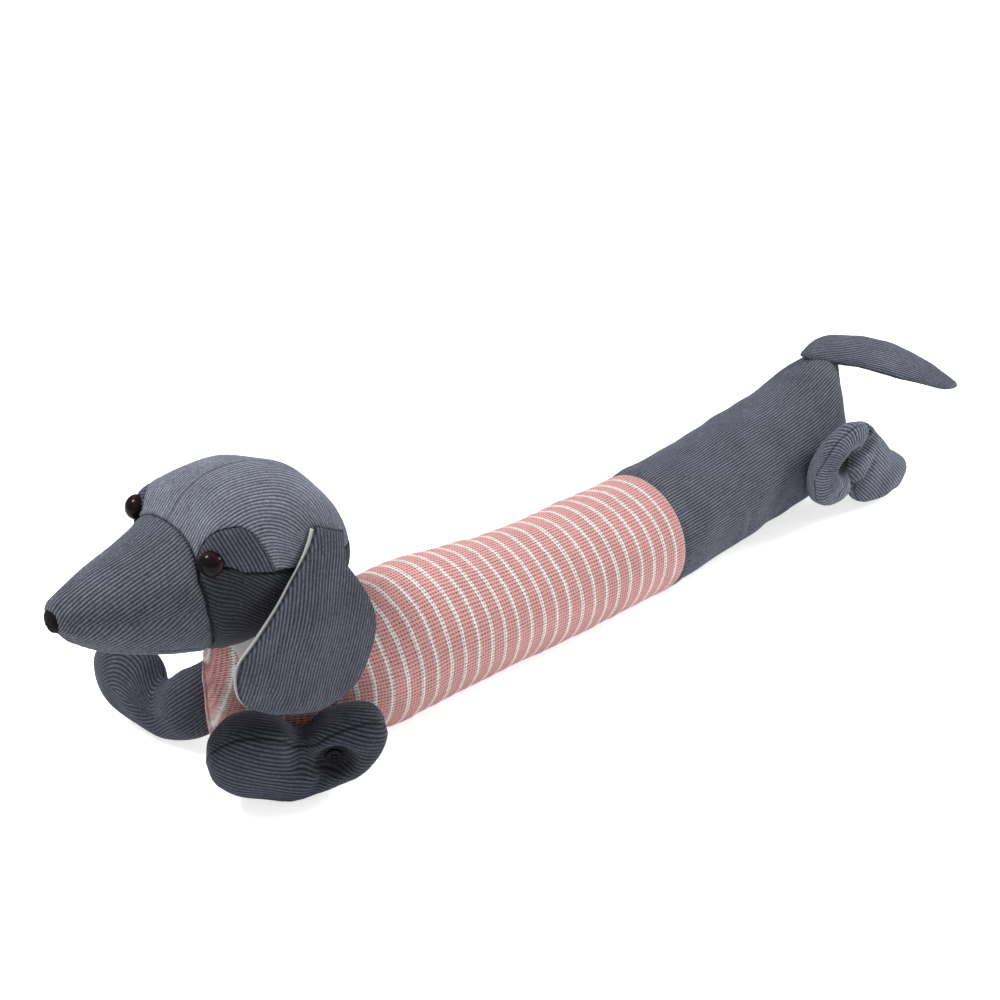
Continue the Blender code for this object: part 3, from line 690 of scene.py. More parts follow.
def use_group(tree, name, **values):
    """Places a cloth group that reads the mesh's marks, with this finish's values."""
    made = tree.nodes.new("ShaderNodeGroup")
    made.node_tree = bpy.data.node_groups[name]
    for socket, value in {"Rib": mark(tree, "rib"), "Run": mark(tree, "run"), **values}.items():
        feed(tree, made.inputs[socket], value)
    return {output.name: Wire(tree, output) for output in made.outputs}


GREY = (0.1, 0.1, 0.1, 1.0)  # of a group's colours before a finish sets them


def corduroy_group():
    """Ribs with a brushed pile: light tops and grooves painted dark for the shade that falls in them, streaks
    along them and worn patches.
    """
    tree, feeds = group(
        "corduroy",
        {"Rib": 0.0, "Run": 0.0, "Seam": 0.02, "Pitch": 0.0027, "Top": GREY, "Groove": GREY},
    )
    rib, run, pitch = feeds["Rib"], feeds["Run"], feeds["Pitch"]
    wander = noise(tree, vector(tree, rib * 90.0, run * 70.0, 0.0)) - 0.5
    nap = noise(tree, vector(tree, rib * 700.0 + run * 380.0, run * 560.0, 7.0), detail=2.0)
    turn = (rib / pitch + wander * 0.16 + (nap - 0.5) * 0.22) * (2 * math.pi)
    top = (turn.math("COSINE") * 0.5 + 0.5).math("POWER", 1.15)
    pile = noise(tree, vector(tree, rib * 1500.0, run * 800.0, 0.0), detail=3.0, rough=0.65)
    streak = noise(tree, vector(tree, rib * 420.0, run * 60.0, 3.0), detail=2.0)
    patch = noise(tree, place_in(tree), scale=24.0, detail=3.0)
    grit = noise(tree, place_in(tree), scale=420.0, detail=3.0, rough=0.7)
    bright = (patch - 0.5) * 0.70 + (streak - 0.5) * 0.80 + (pile - 0.5) * 0.90 + (nap - 0.5) * 0.90
    bright = bright + (grit - 0.5) * 1.30 + 1.0
    # Darker near a seam, the seam's own dark line; a leg sets this mark to 0 in its button's hollow, so there
    # it is painted shade.
    seam = feeds["Seam"].between(0.0002, 0.0014, 0.40, 1.0)
    # lit is 1 on a rib's top and 0 in its groove, where the darker groove colour is painted shade.
    lit = (top * 0.9 + pile * 0.12).math("MULTIPLY", 1.0, clamp=True)
    colour = mixed(tree, lit, feeds["Groove"], feeds["Top"])
    colour = mixed(tree, 1.0, colour, bright * seam, "MULTIPLY")
    height = top * 0.00014 + pile * 0.00018 + (nap - 0.5) * 0.00016
    put_out(tree, Colour=colour, Height=height, Roughness=(pile - 0.5) * 0.2 + 0.88)


def knit_group():
    """Stocking stitch: columns of small V stitches with dark holes between them, and white stripes.
    `Rib` is the distance round the jumper and `Run` the distance from its hem."""
    tree, feeds = group(
        "knit",
        {
            "Rib": 0.0, "Run": 0.0, "Wale": WALE, "Course": COURSE, "Stripe pitch": 0.0138,
            "Stripe width": 0.0036, "Ground": GREY, "Stripe": GREY, "Hole": GREY, "Shade": GREY,
        },
    )
    wander = noise(tree, vector(tree, feeds["Rib"] * 70.0, feeds["Run"] * 70.0, 0.0)) - 0.5
    drift = noise(tree, place_in(tree), scale=14.0, detail=1.0) - 0.5
    column = feeds["Rib"] / feeds["Wale"] + wander * 0.3
    aside = (column.math("FRACT") - 0.5).math("ABSOLUTE")
    run = feeds["Run"] + wander * 0.0010 + drift * 0.0050
    course = run / feeds["Course"] + aside * 1.0
    ridge = (aside * math.pi).math("COSINE")
    beat = (course * (2 * math.pi)).math("COSINE") * 0.5 + 0.5
    fibres = vector(tree, feeds["Rib"] * 1300.0, feeds["Run"] * 1300.0, 0.0)
    yarn = noise(tree, fibres, detail=3.0, rough=0.65)
    uneven = noise(tree, vector(tree, feeds["Rib"] * 260.0, feeds["Run"] * 260.0, 5.0))
    patch = noise(tree, place_in(tree), scale=16.0, detail=2.0)
    hole = aside.between(0.24, 0.44) * beat.between(0.30, 0.80) * uneven.between(0.38, 0.60, 0.25, 1.0)
    edge = (uneven - 0.5) * 0.0016 + (yarn - 0.5) * 0.0016
    place = run / feeds["Stripe pitch"]
    off = ((place - 0.5).math("FRACT") - 0.5).math("ABSOLUTE") * feeds["Stripe pitch"] + edge
    half = feeds["Stripe width"] * 0.5
    stripe = off.between(half - 0.0009, half + 0.0005, 1.0, 0.0) * place.between(0.5, 0.55)
    shade = off.between(half, half + 0.0018, 1.0, 0.0)
    ground = mixed(tree, shade * 0.35, feeds["Ground"], feeds["Shade"])
    colour = mixed(tree, stripe * (beat * -0.30 + 1.0), ground, feeds["Stripe"])
    dark = (hole * (stripe * 0.10 + 0.85)).math("MULTIPLY", 1.0, clamp=True)
    colour = mixed(tree, dark, colour, feeds["Hole"])
    bright = (yarn - 0.5) * 0.80 + (patch - 0.5) * 0.30 + (ridge - 0.7) * 0.34 + (beat - 0.5) * -0.20 + 1.0
    colour = mixed(tree, 1.0, colour, bright, "MULTIPLY")
    height = ridge * 0.00034 - beat * 0.00014 - hole * 0.00034 + stripe * 0.00025 + yarn * 0.00016
    put_out(tree, Colour=colour, Height=height, Roughness=(yarn - 0.5) * 0.1 + 0.92)


def weave_group():
    """Plain woven cotton: threads over and under each other, with loose fibres."""
    tree, feeds = group(
        "weave",
        {"Rib": 0.0, "Run": 0.0, "Thread": 0.0007, "Cloth": GREY},
    )
    one = ((feeds["Rib"] / feeds["Thread"]) * math.pi).math("SINE")
    two = ((feeds["Run"] / feeds["Thread"]) * math.pi).math("SINE")
    thread = one * two * 0.5 + 0.5
    fibre = noise(tree, place_in(tree), scale=1600.0, detail=3.0)
    patch = noise(tree, place_in(tree), scale=60.0, detail=2.0)
    bright = (thread - 0.5) * 0.25 + (fibre - 0.5) * 0.3 + (patch - 0.5) * 0.3 + 1.0
    put_out(
        tree,
        Colour=mixed(tree, 1.0, feeds["Cloth"], bright, "MULTIPLY"),
        Height=thread * 0.00008 + fibre * 0.00008,
        Roughness=(fibre - 0.5) * 0.1 + 0.9,
    )


def opaque(colour, share=1.0):
    """A colour for a socket, darkened or lightened by a share."""
    return (*(share * part for part in colour), 1.0)


def once(build):
    """A finish that is built the first time it is asked for."""

    def ask(name, *values, **settings):
        return bpy.data.materials.get(name) or build(name, *values, **settings)

    return ask


def finish_material(name, **shader_settings):
    """A material with its Principled shader, and the settings that are the same all over it."""
    made = bpy.data.materials.new(name)
    made.use_nodes = True
    shader = made.node_tree.nodes["Principled BSDF"]
    for socket, value in shader_settings.items():
        shader.inputs[socket.replace("_", " ")].default_value = value
    return made, made.node_tree, shader


def cloth_look(made, tree, shader, look):
    """Feeds a look's colour, roughness and height to the shader."""
    bumped = tree.nodes.new("ShaderNodeBump")
    bumped.inputs["Strength"].default_value = 1.0
    bumped.inputs["Distance"].default_value = 1.0
    feed(tree, bumped.inputs["Height"], look["Height"])
    feed(tree, shader.inputs["Normal"], Wire(tree, bumped.outputs[0]))
    feed(tree, shader.inputs["Base Color"], look["Colour"])
    feed(tree, shader.inputs["Roughness"], look["Roughness"])
    return made


@once
def corduroy(name, colour, share=1.0, wide=False, groove_shade=0.18):
    """Ribs in a share of a colour, with grooves painted darker, by the groove share, for the shade in them. A
    share other than 1 makes a lit or shaded copy of the same cloth: painted light or painted shade.
    """
    made, tree, shader = finish_material(
        name, Specular_IOR_Level=0.2,
        Sheen_Weight=0.14, Sheen_Roughness=0.45, Sheen_Tint=(0.75, 0.80, 1.0, 1.0),
    )
    look = use_group(
        tree, "corduroy", Seam=mark(tree, "seam"), Pitch=sizes().wide_rib if wide else sizes().rib,
        Top=opaque(colour, share), Groove=opaque(colour, share * groove_shade),
    )
    return cloth_look(made, tree, shader, look)


@once
def knit(name):
    made, tree, shader = finish_material(
        name, Specular_IOR_Level=0.15,
        Sheen_Weight=0.18, Sheen_Roughness=0.5, Sheen_Tint=(1.0, 0.85, 0.82, 1.0),
    )
    pink, white = colours().pink, colours().white
    stripes = {"Stripe pitch": sizes().stripe_pitch, "Stripe width": sizes().stripe_width}
    look = use_group(
        tree, "knit", **stripes,
        Ground=opaque(pink), Stripe=opaque(white), Hole=opaque(pink, 0.09), Shade=opaque(white, 0.55),
    )
    return cloth_look(made, tree, shader, look)


@once
def cotton(name):
    made, tree, shader = finish_material(name, Sheen_Weight=0.2, Sheen_Roughness=0.5, Specular_IOR_Level=0.2)
    look = use_group(tree, "weave", Thread=0.0007, Cloth=opaque(colours().pale))
    return cloth_look(made, tree, shader, look)


@once
def felt(name):
    made, tree, shader = finish_material(name, Sheen_Weight=0.06, Sheen_Roughness=0.4, Specular_IOR_Level=0.1)
    look = use_group(tree, "weave", Thread=0.0004, Cloth=opaque(colours().black))
    return cloth_look(made, tree, shader, look)


@once
def gloss(name):
    """Domed eye: black, with a thin dark ring near its edge and faint marks."""
    made, tree, shader = finish_material(name, Specular_IOR_Level=0.10)
    out = mark(tree, "rib")
    smear = noise(tree, place_in(tree), scale=300.0)
    flecks = noise(tree, place_in(tree), scale=900.0, detail=3.0)
    ring = out.between(0.80, 0.86) * out.between(0.92, 0.97, 1.0, 0.0)
    amber = mixed(tree, flecks, opaque(colours().amber, 0.5), opaque(colours().amber, 1.5))
    look = {
        "Colour": mixed(tree, ring, opaque(colours().black), amber),
        "Height": smear * 0.00001,
        "Roughness": smear.between(0.3, 0.7, 0.04, 0.10),
    }
    return cloth_look(made, tree, shader, look)


@once
def plastic(name):
    made, tree, shader = finish_material(name, Specular_IOR_Level=0.06)
    scuff = noise(tree, place_in(tree), scale=700.0, detail=4.0)
    look = {
        "Colour": mixed(tree, scuff, opaque(colours().black), opaque(colours().black, 2.5)),
        "Height": scuff * 0.00003,
        "Roughness": scuff.between(0.3, 0.7, 0.4, 0.55),
    }
    return cloth_look(made, tree, shader, look)


# ---- Body and jumper ----


BODY_FINE = flow(BODY, 3000)


def body_sections(at, half_columns, inset):
    """The body's sections at each x, drawn in by inset(x): points even in length round each half,
    from the top down the far side and up the near side, and each column's share of the way down."""
    angle = np.linspace(0, np.pi, 400)
    share = np.linspace(0, 1, half_columns + 1)
    rows = []
    for x in at:
        _, y, half, bottom, top = (np.interp(x, BODY_FINE[:, 0], column) for column in BODY_FINE.T)
        drawn = inset(x)
        low = bottom - BODY_SINK * (top - bottom)
        ys = max(half - drawn, 0.0004) * np.sin(angle)
        zs = (top + low) / 2 + ((top - low) / 2 - drawn) * np.cos(angle)
        soft = (zs + np.sqrt(zs * zs + FLAT_EDGE**2)) / 2
        zs = np.maximum(soft - soft[-1] + max(bottom, 0.0), drawn)
        line = np.concatenate([[0], np.cumsum(np.hypot(np.diff(ys), np.diff(zs)))])
        ys, zs = (np.interp(share * line[-1], line, value) for value in (ys, zs))
        ys, zs = y + np.append(ys, -ys[-2:0:-1]), np.append(zs, zs[-2:0:-1])
        rows.append(np.column_stack([np.full(2 * half_columns, x), ys, zs]))
    return np.array(rows), np.append(share, share[-2:0:-1])


def near_run(share, length):
    """How far round from the top each column is, minus on the near side."""
    run = share * length / 2
    run[len(share) // 2 + 1:] *= -1
    return run


def stations(from_x, to_x, count):
    """Places between two ends, closer together near each of them."""
    share = np.linspace(0, 1, count)
    return from_x + (to_x - from_x) * (0.35 * share + 0.65 * (0.5 - 0.5 * np.cos(np.pi * share)))


def under_jumper(x):
    """How far the body is drawn in, to pass under the jumper."""
    return (KNIT + GAP) * (1 - min(max((x - HEM_X) / HEM_STEP, 0.0), 1.0))


def build_body():
    hidden, hem, free = BODY_ROWS
    at = np.concatenate([
        stations(BODY[0][0] + 2 * KNIT + GAP, HEM_X - 0.004, hidden),
        np.linspace(HEM_X - 0.002, HEM_X + HEM_STEP, hem),
        stations(HEM_X + HEM_STEP + 0.003, BODY[-1][0], free),
    ])
    points, share = body_sections(at, BODY_RIBS * RIB_COLUMNS // 2, under_jumper)
    rib = np.broadcast_to(share * BODY_RIBS * sizes().rib / 2, points.shape[:2])
    run = np.broadcast_to(at[:, None], points.shape[:2])
    normal = outward(points, True)
    behind = eased(points[..., 0], HEM_X, HEM_X + 0.02)
    away = BODY[-1][0] - points[..., 0]
    round_it = np.broadcast_to(near_run(share, BODY_ROUND), rib.shape)
    move = -sizes().rib_depth * ribbed(rib, sizes().rib)
    move += behind * (0.0010 * lumps(points, 0.09, 3) + 0.0005 * lumps(points, 0.035, 4))
    move += behind * tucked(points[..., 0], round_it, BODY_TUCKS)
    move += puckered(away, points[..., 2], 5) * behind
    move *= eased(points[..., 2], 0.0, 0.006)
    front, rear = points[0].mean(axis=0) - (0.0002, 0, 0), points[-1].mean(axis=0) + (0.001, 0, 0)
    cloth = Cloth()
    cloth.filled(points + normal * move[..., None], front, rear, rib=rib, run=run, seam=np.maximum(away, 0))
    slate = corduroy("slate corduroy", colours().slate)
    placed(cloth, "body", slate)


def build_jumper():
    chest, rest = JUMPER_ROWS
    half_columns = WALES * WALE_COLUMNS // 2
    at = np.append(stations(BODY[0][0], SHOULDER, chest)[:-1], np.linspace(SHOULDER, HEM_X, rest))
    outer, share = body_sections(at, half_columns, lambda x: 0.0)
    inner_at = stations(BODY[0][0] + 2 * KNIT, HEM_X, LINED_ROWS)
    inner, _ = body_sections(inner_at, half_columns, lambda x: KNIT)
    step = np.diff(at)[:, None]
    length = np.minimum(np.linalg.norm(np.diff(outer, axis=0), axis=-1), 1.15 * step)
    run = np.concatenate([np.cumsum(length[::-1], axis=0)[::-1], np.zeros((1, outer.shape[1]))])
    pulled = CHEST_SLANT * (0.10 - outer[..., 2]) + CHEST_PULL * np.sin(np.pi * outer[..., 2] / CHEST_HEIGHT)
    run = run - pulled * eased(CHEST_FROM - outer[..., 0], 0.0, CHEST_FADE)
    rib = np.broadcast_to(share * WALES * WALE / 2, run.shape)
    normal = outward(outer, True)
    wale = np.abs(np.sin(np.pi * rib / WALE))
    pitch, width = sizes().stripe_pitch, sizes().stripe_width
    off = np.abs((run / pitch + 0.5) % 1 - 0.5) * pitch
    stripe = (1 - eased(off, width / 2 - 0.0008, width / 2 + 0.0008)) * (run > pitch / 2)
    move = -0.00030 * (1 - wale) + 0.00025 * stripe - 0.00025
    move += 0.0007 * lumps(outer, 0.10, 11) * eased(run, 0.0, 0.03)
    move += 0.0003 * lumps(outer, 0.03, 12) * eased(run, 0.0, 0.02)
    move = np.maximum(move, -0.0012)
    move *= eased(outer[..., 2], 0.0, 0.006)
    move -= rolled(run, 0.0020, 0.0008)
    cloth = Cloth()
    index = cloth.grid(outer + normal * move[..., None], True, rib=rib, run=run)
    inside = cloth.grid(inner, True, rib=rib[0], run=HEM_X - inner_at[:, None])
    cloth.tip(index[0], outer[0].mean(axis=0) - (GAP, 0, 0), run=run[0].max())
    cloth.tip(inside[0], inner[0].mean(axis=0) - (0.0006, 0, 0), run=run[0].max())
    cloth.join(np.stack([index[-1], inside[-1]]), True)
    made = placed(cloth, "jumper", knit("striped knit"), "knit")


# ---- Head ----


HEAD_FINE = flow(HEAD, 2000)
HEAD_SHARE = np.linspace(0, 1, 2000)


def head_point(q, down):
    """A point on the head: q runs from nose to nape, `down` from the crown round the near side."""
    turned = np.abs(np.degrees(np.arctan2(np.sin(down), np.cos(down))))
    q = q + np.interp(turned, *zip(*RING_BOW)) * bell(q - RING, RING_BOW_LONG)
    x, bottom, wide, top, half, power = (np.interp(q, HEAD_SHARE, column) for column in HEAD_FINE.T)
    rise = np.where(np.cos(down) > 0, top - wide, wide - bottom)
    power = np.where(np.cos(down) > 0, power, LOWER_ROUNDNESS)
    bulge = BULGE * bell(q - BULGE_AT, BULGE_LONG) * bell(turned - BULGE_DOWN, BULGE_ROUND)
    z = wide + np.maximum(rise + bulge, 0) * rounded(np.cos(down), power)
    y = HEAD_Y - np.maximum(half + bulge, 0) * rounded(np.sin(down), power)
    return np.stack([x + HEAD_SHEAR * (z - wide) - BULGE_FORWARD * bulge, y, z], -1)


def chart(rows, columns):
    """Fine table of lengths over half the head: round from the crown, and along from the nose."""
    q, down = np.linspace(0, 1, rows)[:, None], np.radians(np.linspace(0, 180, columns))[None, :]
    points = head_point(q + 0 * down, down + 0 * q)
    return arc(points, 1), arc(points, 0)


HEAD_ROUND, HEAD_ALONG = chart(401, 361)


def looked_up(table, q, down):
    """A value from a chart of the head, between its places."""
    rows, columns = table.shape
    i, j = np.clip(q, 0, 1) * (rows - 1), np.clip(np.degrees(down), 0, 180) / 180 * (columns - 1)
    a, b = np.minimum(i.astype(int), rows - 2), np.minimum(j.astype(int), columns - 2)
    s, t = i - a, j - b
    before = (1 - t) * table[a, b] + t * table[a, b + 1]
    behind = (1 - t) * table[a + 1, b] + t * table[a + 1, b + 1]
    return (1 - s) * before + s * behind


def brow_raise(side):
    return FAR_BROW_RAISE if side < 0 else 0.0


def cover_edge(q, side):
    """Degrees down from the crown where the brow and cheek panels start."""
    rows = [(at, upper - brow_raise(side)) for at, upper, _ in BROW] + list(CHEEK)
    return np.interp(q, *zip(*rows))


def gusset_edge(q):
    """Degrees down from the crown where the chin gusset starts."""
    at = np.linspace(GUSSET_START, RING - 0.003, len(GUSSET_EDGE))
    edge = np.interp(q, at, GUSSET_EDGE)
    point = GUSSET_EDGE[0] + (GUSSET_START - q) / GUSSET_POINT * (180.0 - GUSSET_EDGE[0])
    return np.where(q < GUSSET_START, point, edge)


def muzzle_rib(q, down):
    """Distance across the ribs of a flat cloth that is rolled into the muzzle's cone."""
    return looked_up(HEAD_ROUND, q, np.pi + 0 * q) / np.pi * np.sin(CONE * down) / CONE


def build_muzzle():
    rows, columns = MUZZLE_GRID
    q = ((RING - 0.0015) * np.linspace(0.004, 1, rows) ** 1.15)[:, None]
    down = np.linspace(0, 2 * np.pi, columns, endpoint=False)[None, :]
    q, down = q + 0 * down, down + 0 * q
    half = np.minimum(down, 2 * np.pi - down)
    plain = head_point(q, down)
    normal = outward(plain, True)
    round_it, run = looked_up(HEAD_ROUND, q, half), looked_up(HEAD_ALONG, q, half)
    rib = muzzle_rib(q, half)
    seam_at = looked_up(HEAD_ROUND, q, np.radians(gusset_edge(q)))
    off_gusset = np.where(gusset_edge(q) < 180, seam_at - round_it, 0.05)
    off_ring = looked_up(HEAD_ALONG, RING + 0 * q, half) - run
    seam = np.minimum(np.abs(off_gusset), off_ring)
    move = -sizes().rib_depth * ribbed(rib, sizes().rib) * eased(run, 0.004, 0.016)
    move -= rolled(np.maximum(off_gusset, 0), sizes().seam, SEAM_DEPTH)
    move -= (UNDER_PANEL - SEAM_DEPTH) * eased(-off_gusset, 0, 0.0012)
    move -= rolled(off_ring, RING_ROLL, RING_DEPTH)
    move += puckered(np.abs(off_gusset), run, 21) + puckered(off_ring, round_it, 22)
    move += 0.0006 * lumps(plain, 0.05, 23)
    gathers = np.sin(half * 7 + 1.0) * bell(run - 0.018, 0.006)  # behind the nose
    move += 0.0005 * gathers
    front, back = head_point(0.0, 0.0), plain[-1].mean(axis=0)
    cloth = Cloth()
    cloth.filled(plain + normal * move[..., None], front, back, rib=rib, run=run, seam=seam)
    slate = corduroy("slate corduroy", colours().slate)
    placed(cloth, "muzzle", slate)


def build_crown(name, side):
    pitch = CROWN_RIB * sizes().rib
    rows, nape_rows = CROWN_ROWS
    columns, under_columns = CROWN_COLUMNS
    q = np.append(np.linspace(RING, 0.96, rows), np.linspace(0.965, 0.995, nape_rows))[:, None]
    down = np.radians(np.append(np.linspace(0, 104, columns), np.linspace(108, 180, under_columns)))[None, :]
    q, down = q + 0 * down, down + 0 * q
    plain = head_point(q, side * down)
    middle = head_point(0.6, np.pi / 2) * (1, 0, 1) + (0, HEAD_Y, 0)
    normal = outward(plain, middle=middle)
    off_middle, run = looked_up(HEAD_ROUND, q, down), looked_up(HEAD_ALONG, q, down)
    behind = run - looked_up(HEAD_ALONG, FAN_FROM + 0 * q, down)
    spread = 0.5 * (behind + np.sqrt(behind * behind + FAN_EASE**2))
    rib = off_middle - FAN * spread * np.minimum(down / FAN_DOWN, FAN_MOST) ** 2
    off_ring = run - looked_up(HEAD_ALONG, RING + 0 * q, down)
    off_cover = looked_up(HEAD_ROUND, q, np.radians(cover_edge(q, side))) - off_middle
    covered = eased(-off_cover, -0.0004, 0.0012)
    seam = np.minimum(np.minimum(off_middle + 0.0007, off_ring), np.abs(off_cover))
    move = -sizes().rib_depth * 0.8 * ribbed(rib, pitch)
    move -= rolled(off_middle, 0.0014, 0.0005) + rolled(off_ring, sizes().seam, 0.0018)
    move -= rolled(np.maximum(off_cover, 0), sizes().seam, SEAM_DEPTH)
    move -= (UNDER_PANEL - SEAM_DEPTH + 0.0012) * covered
    move += puckered(off_ring, off_middle, 31) + puckered(np.abs(off_cover), run, 32)
    move += 0.5 * puckered(off_middle, run, 33)
    move += 0.0007 * lumps(plain, 0.045, 34)
    points = plain + normal * move[..., None]
    points[:, 0, 1] -= side * GAP / 2
    points[:, -1, 1] -= side * GAP / 2
    cloth = Cloth()
    index = cloth.grid(points, rib=rib * sizes().rib / pitch, run=run, seam=seam)
    core = plain.mean(axis=1) * (1, 0, 1)
    core[:, 1] = HEAD_Y - side * GAP / 2
    line = cloth.add(core)
    cloth.join(np.stack([index[:, 0], line], 1))
    cloth.join(np.stack([line, index[:, -1]], 1))
    for row, out in ((0, 0.0), (-1, 0.0004)):
        cloth.tip(np.append(index[row], line[row]), plain[row].mean(axis=0) + (out, 0, 0))
    worn = corduroy("worn corduroy", colours().light, groove_shade=0.24)
    placed(cloth, f"crown_{name}", worn)


def spanned(at, upper, lower, columns):
    """Places on a cloth between an upper and a lower seam: share of the head's rows, and how far
    down from the crown."""
    across = np.linspace(0, 1, columns)[None, :]
    down = np.radians(upper * (1 - across) + lower * across)
    return at + 0 * down, down


def build_panel(node, q, down, side, rib, run, finish, seed, lift=0.0):
    """A cloth let into the head between its seams."""
    plain = head_point(q, side * down)
    normal = outward(plain, middle=HEAD_MIDDLE)
    seam = to_edges(plain)
    move = -sizes().rib_depth * ribbed(rib, sizes().rib)
    move -= rolled(seam, sizes().seam, 0.0015)
    move += puckered(seam, arc(plain, 0), seed) + 0.0005 * lumps(plain, 0.04, seed + 1) + lift
    cloth = Cloth()
    cloth.two_layers(plain + normal * move[..., None], plain - normal * PANEL, rib=rib, run=run, seam=seam)
    return placed(cloth, node, finish)


def build_gusset():
    rows, columns = GUSSET_GRID
    at = np.linspace(GUSSET_START, RING - 0.003, rows)[:, None]
    q, down = spanned(at, gusset_edge(at), 360 - gusset_edge(at), columns)
    half = np.minimum(down, 2 * np.pi - down)
    rib = looked_up(HEAD_ROUND, q, np.pi + 0 * q) - looked_up(HEAD_ROUND, q, half)
    run = looked_up(HEAD_ALONG, q, half)
    slate = corduroy("slate corduroy", colours().slate)
    made = build_panel("chin_gusset", q, down, 1, rib, run, slate, 41)


def build_brow(name, side):
    brow = np.array(BROW)
    rows, columns = BROW_GRID
    at = np.linspace(brow[0, 0], brow[-1, 0], rows)[:, None]
    upper, lower = (np.interp(at, brow[:, 0], brow[:, k] - brow_raise(side)) for k in (1, 2))
    q, down = spanned(at, upper, lower, columns)
    round_it, along = looked_up(HEAD_ROUND, q, down), looked_up(HEAD_ALONG, q, down)
    rib = along - 0.12 * round_it
    # The navy cloth at 1.30 here is painted light: the brow patch is drawn lighter than the same navy on the
    # cheek and legs.
    navy = corduroy("brow corduroy", colours().navy, 1.30)
    made = build_panel(f"brow_{name}", q, down, side, rib, round_it, navy, 51)


def build_cheek(name, side):
    edge = np.array([(at, lower - brow_raise(side)) for at, _, lower in BROW] + list(CHEEK))
    rows, columns = CHEEK_GRID
    at = np.linspace(edge[0, 0], edge[-1, 0], rows)[:, None]
    q, down = spanned(at, np.interp(at, edge[:, 0], edge[:, 1]) + 0.7, 179.6, columns)
    round_it, along = looked_up(HEAD_ROUND, q, down), looked_up(HEAD_ALONG, q, down)
    behind = along - looked_up(HEAD_ALONG, RING + 0 * q, down)
    bent = CHEEK_BEND * (1 - np.exp(-np.maximum(behind, 0) / CHEEK_BEND_LONG))
    rib = (behind + bent - round_it) / CHEEK_STEEP
    # The navy cloth at 0.62 here is painted shade: the cheek lies in shade under the ear and beside the
    # muzzle.
    navy = corduroy("navy corduroy", colours().navy, 0.62)
    lift = -0.0030 * bell(behind, 0.005)
    made = build_panel(f"cheek_{name}", q, down, side, rib, along, navy, 61, lift)


def eye_axes(name):
    side = 1 if name == "near" else -1
    down = math.radians(EYE_DOWN[name]) * side
    at = EYE_AT[name]
    centre = head_point(at, down)
    aft = head_point(at + 0.02, down) - head_point(at - 0.02, down)
    round_it = head_point(at, down + 0.1) - head_point(at, down - 0.1)
    out = np.cross(round_it, aft)
    out = out / np.linalg.norm(out)
    out = out if np.dot(out, centre - HEAD_MIDDLE) > 0 else -out
    one = np.cross(out, (0, 0, 1))
    one = one / np.linalg.norm(one)
    return centre, out, one, np.cross(out, one)


def build_eyes():
    rows, columns = EYE_GRID
    for name in ("near", "far"):
        centre, out, one, two = eye_axes(name)
        around = np.linspace(0, 2 * np.pi, columns, endpoint=False)
        flat = np.cos(around)[:, None] * one + np.sin(around)[:, None] * two
        angles = np.radians(np.linspace(-40, 86, rows))[:, None]
        reach = (EYE_RADIUS * np.cos(angles))[..., None]
        points = centre + reach * flat[None] + (EYE_DEPTH * np.sin(angles))[..., None] * out
        cloth = Cloth()
        index = cloth.grid(points, True, rib=np.cos(angles) + 0 * around[None])
        cloth.tip(index[0], centre - 0.9 * EYE_DEPTH * out, rib=1.0)
        cloth.tip(index[-1], centre + EYE_DEPTH * out, rib=0.0)
        placed(cloth, f"eye_{name}", gloss("glossy eye"), "dome")


def build_nose():
    middle = head_point(0.0, 0.0) + NOSE_AT
    long, wide, tall = NOSE_SIZE
    rows, columns = NOSE_GRID
    around = np.linspace(0, 2 * np.pi, columns, endpoint=False)[None, :]
    t = np.radians(np.linspace(-84, 84, rows))[:, None]
    ys = wide * np.cos(t) * np.cos(around) * (1 + 0.25 * np.sin(around))
    zs = tall * np.cos(t) * np.sin(around)
    points = middle + np.stack([long * np.sin(t) + 0 * around, ys, zs], -1)
    points += outward(points, True) * (0.00015 * lumps(points, 0.004, 71))[..., None]
    cloth = Cloth()
    cloth.filled(points, middle - (long, 0, 0), middle + (long, 0, 0), rib=around * 0.008, run=t * 0.008)
    placed(cloth, "nose", felt("black felt"), "pad")


def build_neck_band():
    """A band of pale cloth that stands between the jumper and the head."""
    x, y, long, wide = NECK
    rows, columns = NECK_GRID
    around = np.linspace(0, 2 * np.pi, columns, endpoint=False)
    xs, ys = x + long * np.cos(around), y + wide * np.sin(around)
    low, high = [], []
    for px, py in zip(xs, ys):
        _, cy, half, _, top = (np.interp(px, BODY_FINE[:, 0], column) for column in BODY_FINE.T)
        off = min(abs(py - cy) / max(half, 0.001), 0.98)
        dip = 1 - math.sqrt(1 - off * off)
        low.append(top * (1 - (0.5 + BODY_SINK / 2) * dip) + 0.0012)
        q = np.interp(px, HEAD_FINE[:, 0], HEAD_SHARE)
        _, bottom, level, _, head_half, _ = (np.interp(q, HEAD_SHARE, column) for column in HEAD_FINE.T)
        off = min(abs(py - HEAD_Y) / head_half, 0.98)
        high.append(level - (level - bottom) * (1 - off * off) ** (LOWER_ROUNDNESS / 2) - 0.0016)
    low, high = np.array(low), np.maximum(np.array(high), np.array(low) + 0.002)
    share = np.linspace(0, 1, rows)[:, None]
    zs = low * (1 - share) + high * share
    cloth, faces = Cloth(), []
    for inset in (0.0, NECK_CLOTH):
        out = 0.0015 * np.sin(np.pi * share) - inset
        face = np.stack([xs + out * np.cos(around), ys + out * np.sin(around), zs], -1)
        faces.append(cloth.grid(face, True, rib=around * NECK_RADIUS, run=zs))
    for row in (0, -1):
        cloth.join(np.stack([face[row] for face in faces]), True)
    placed(cloth, "neck_band", cotton("pale cotton"))


# ---- Ears ----


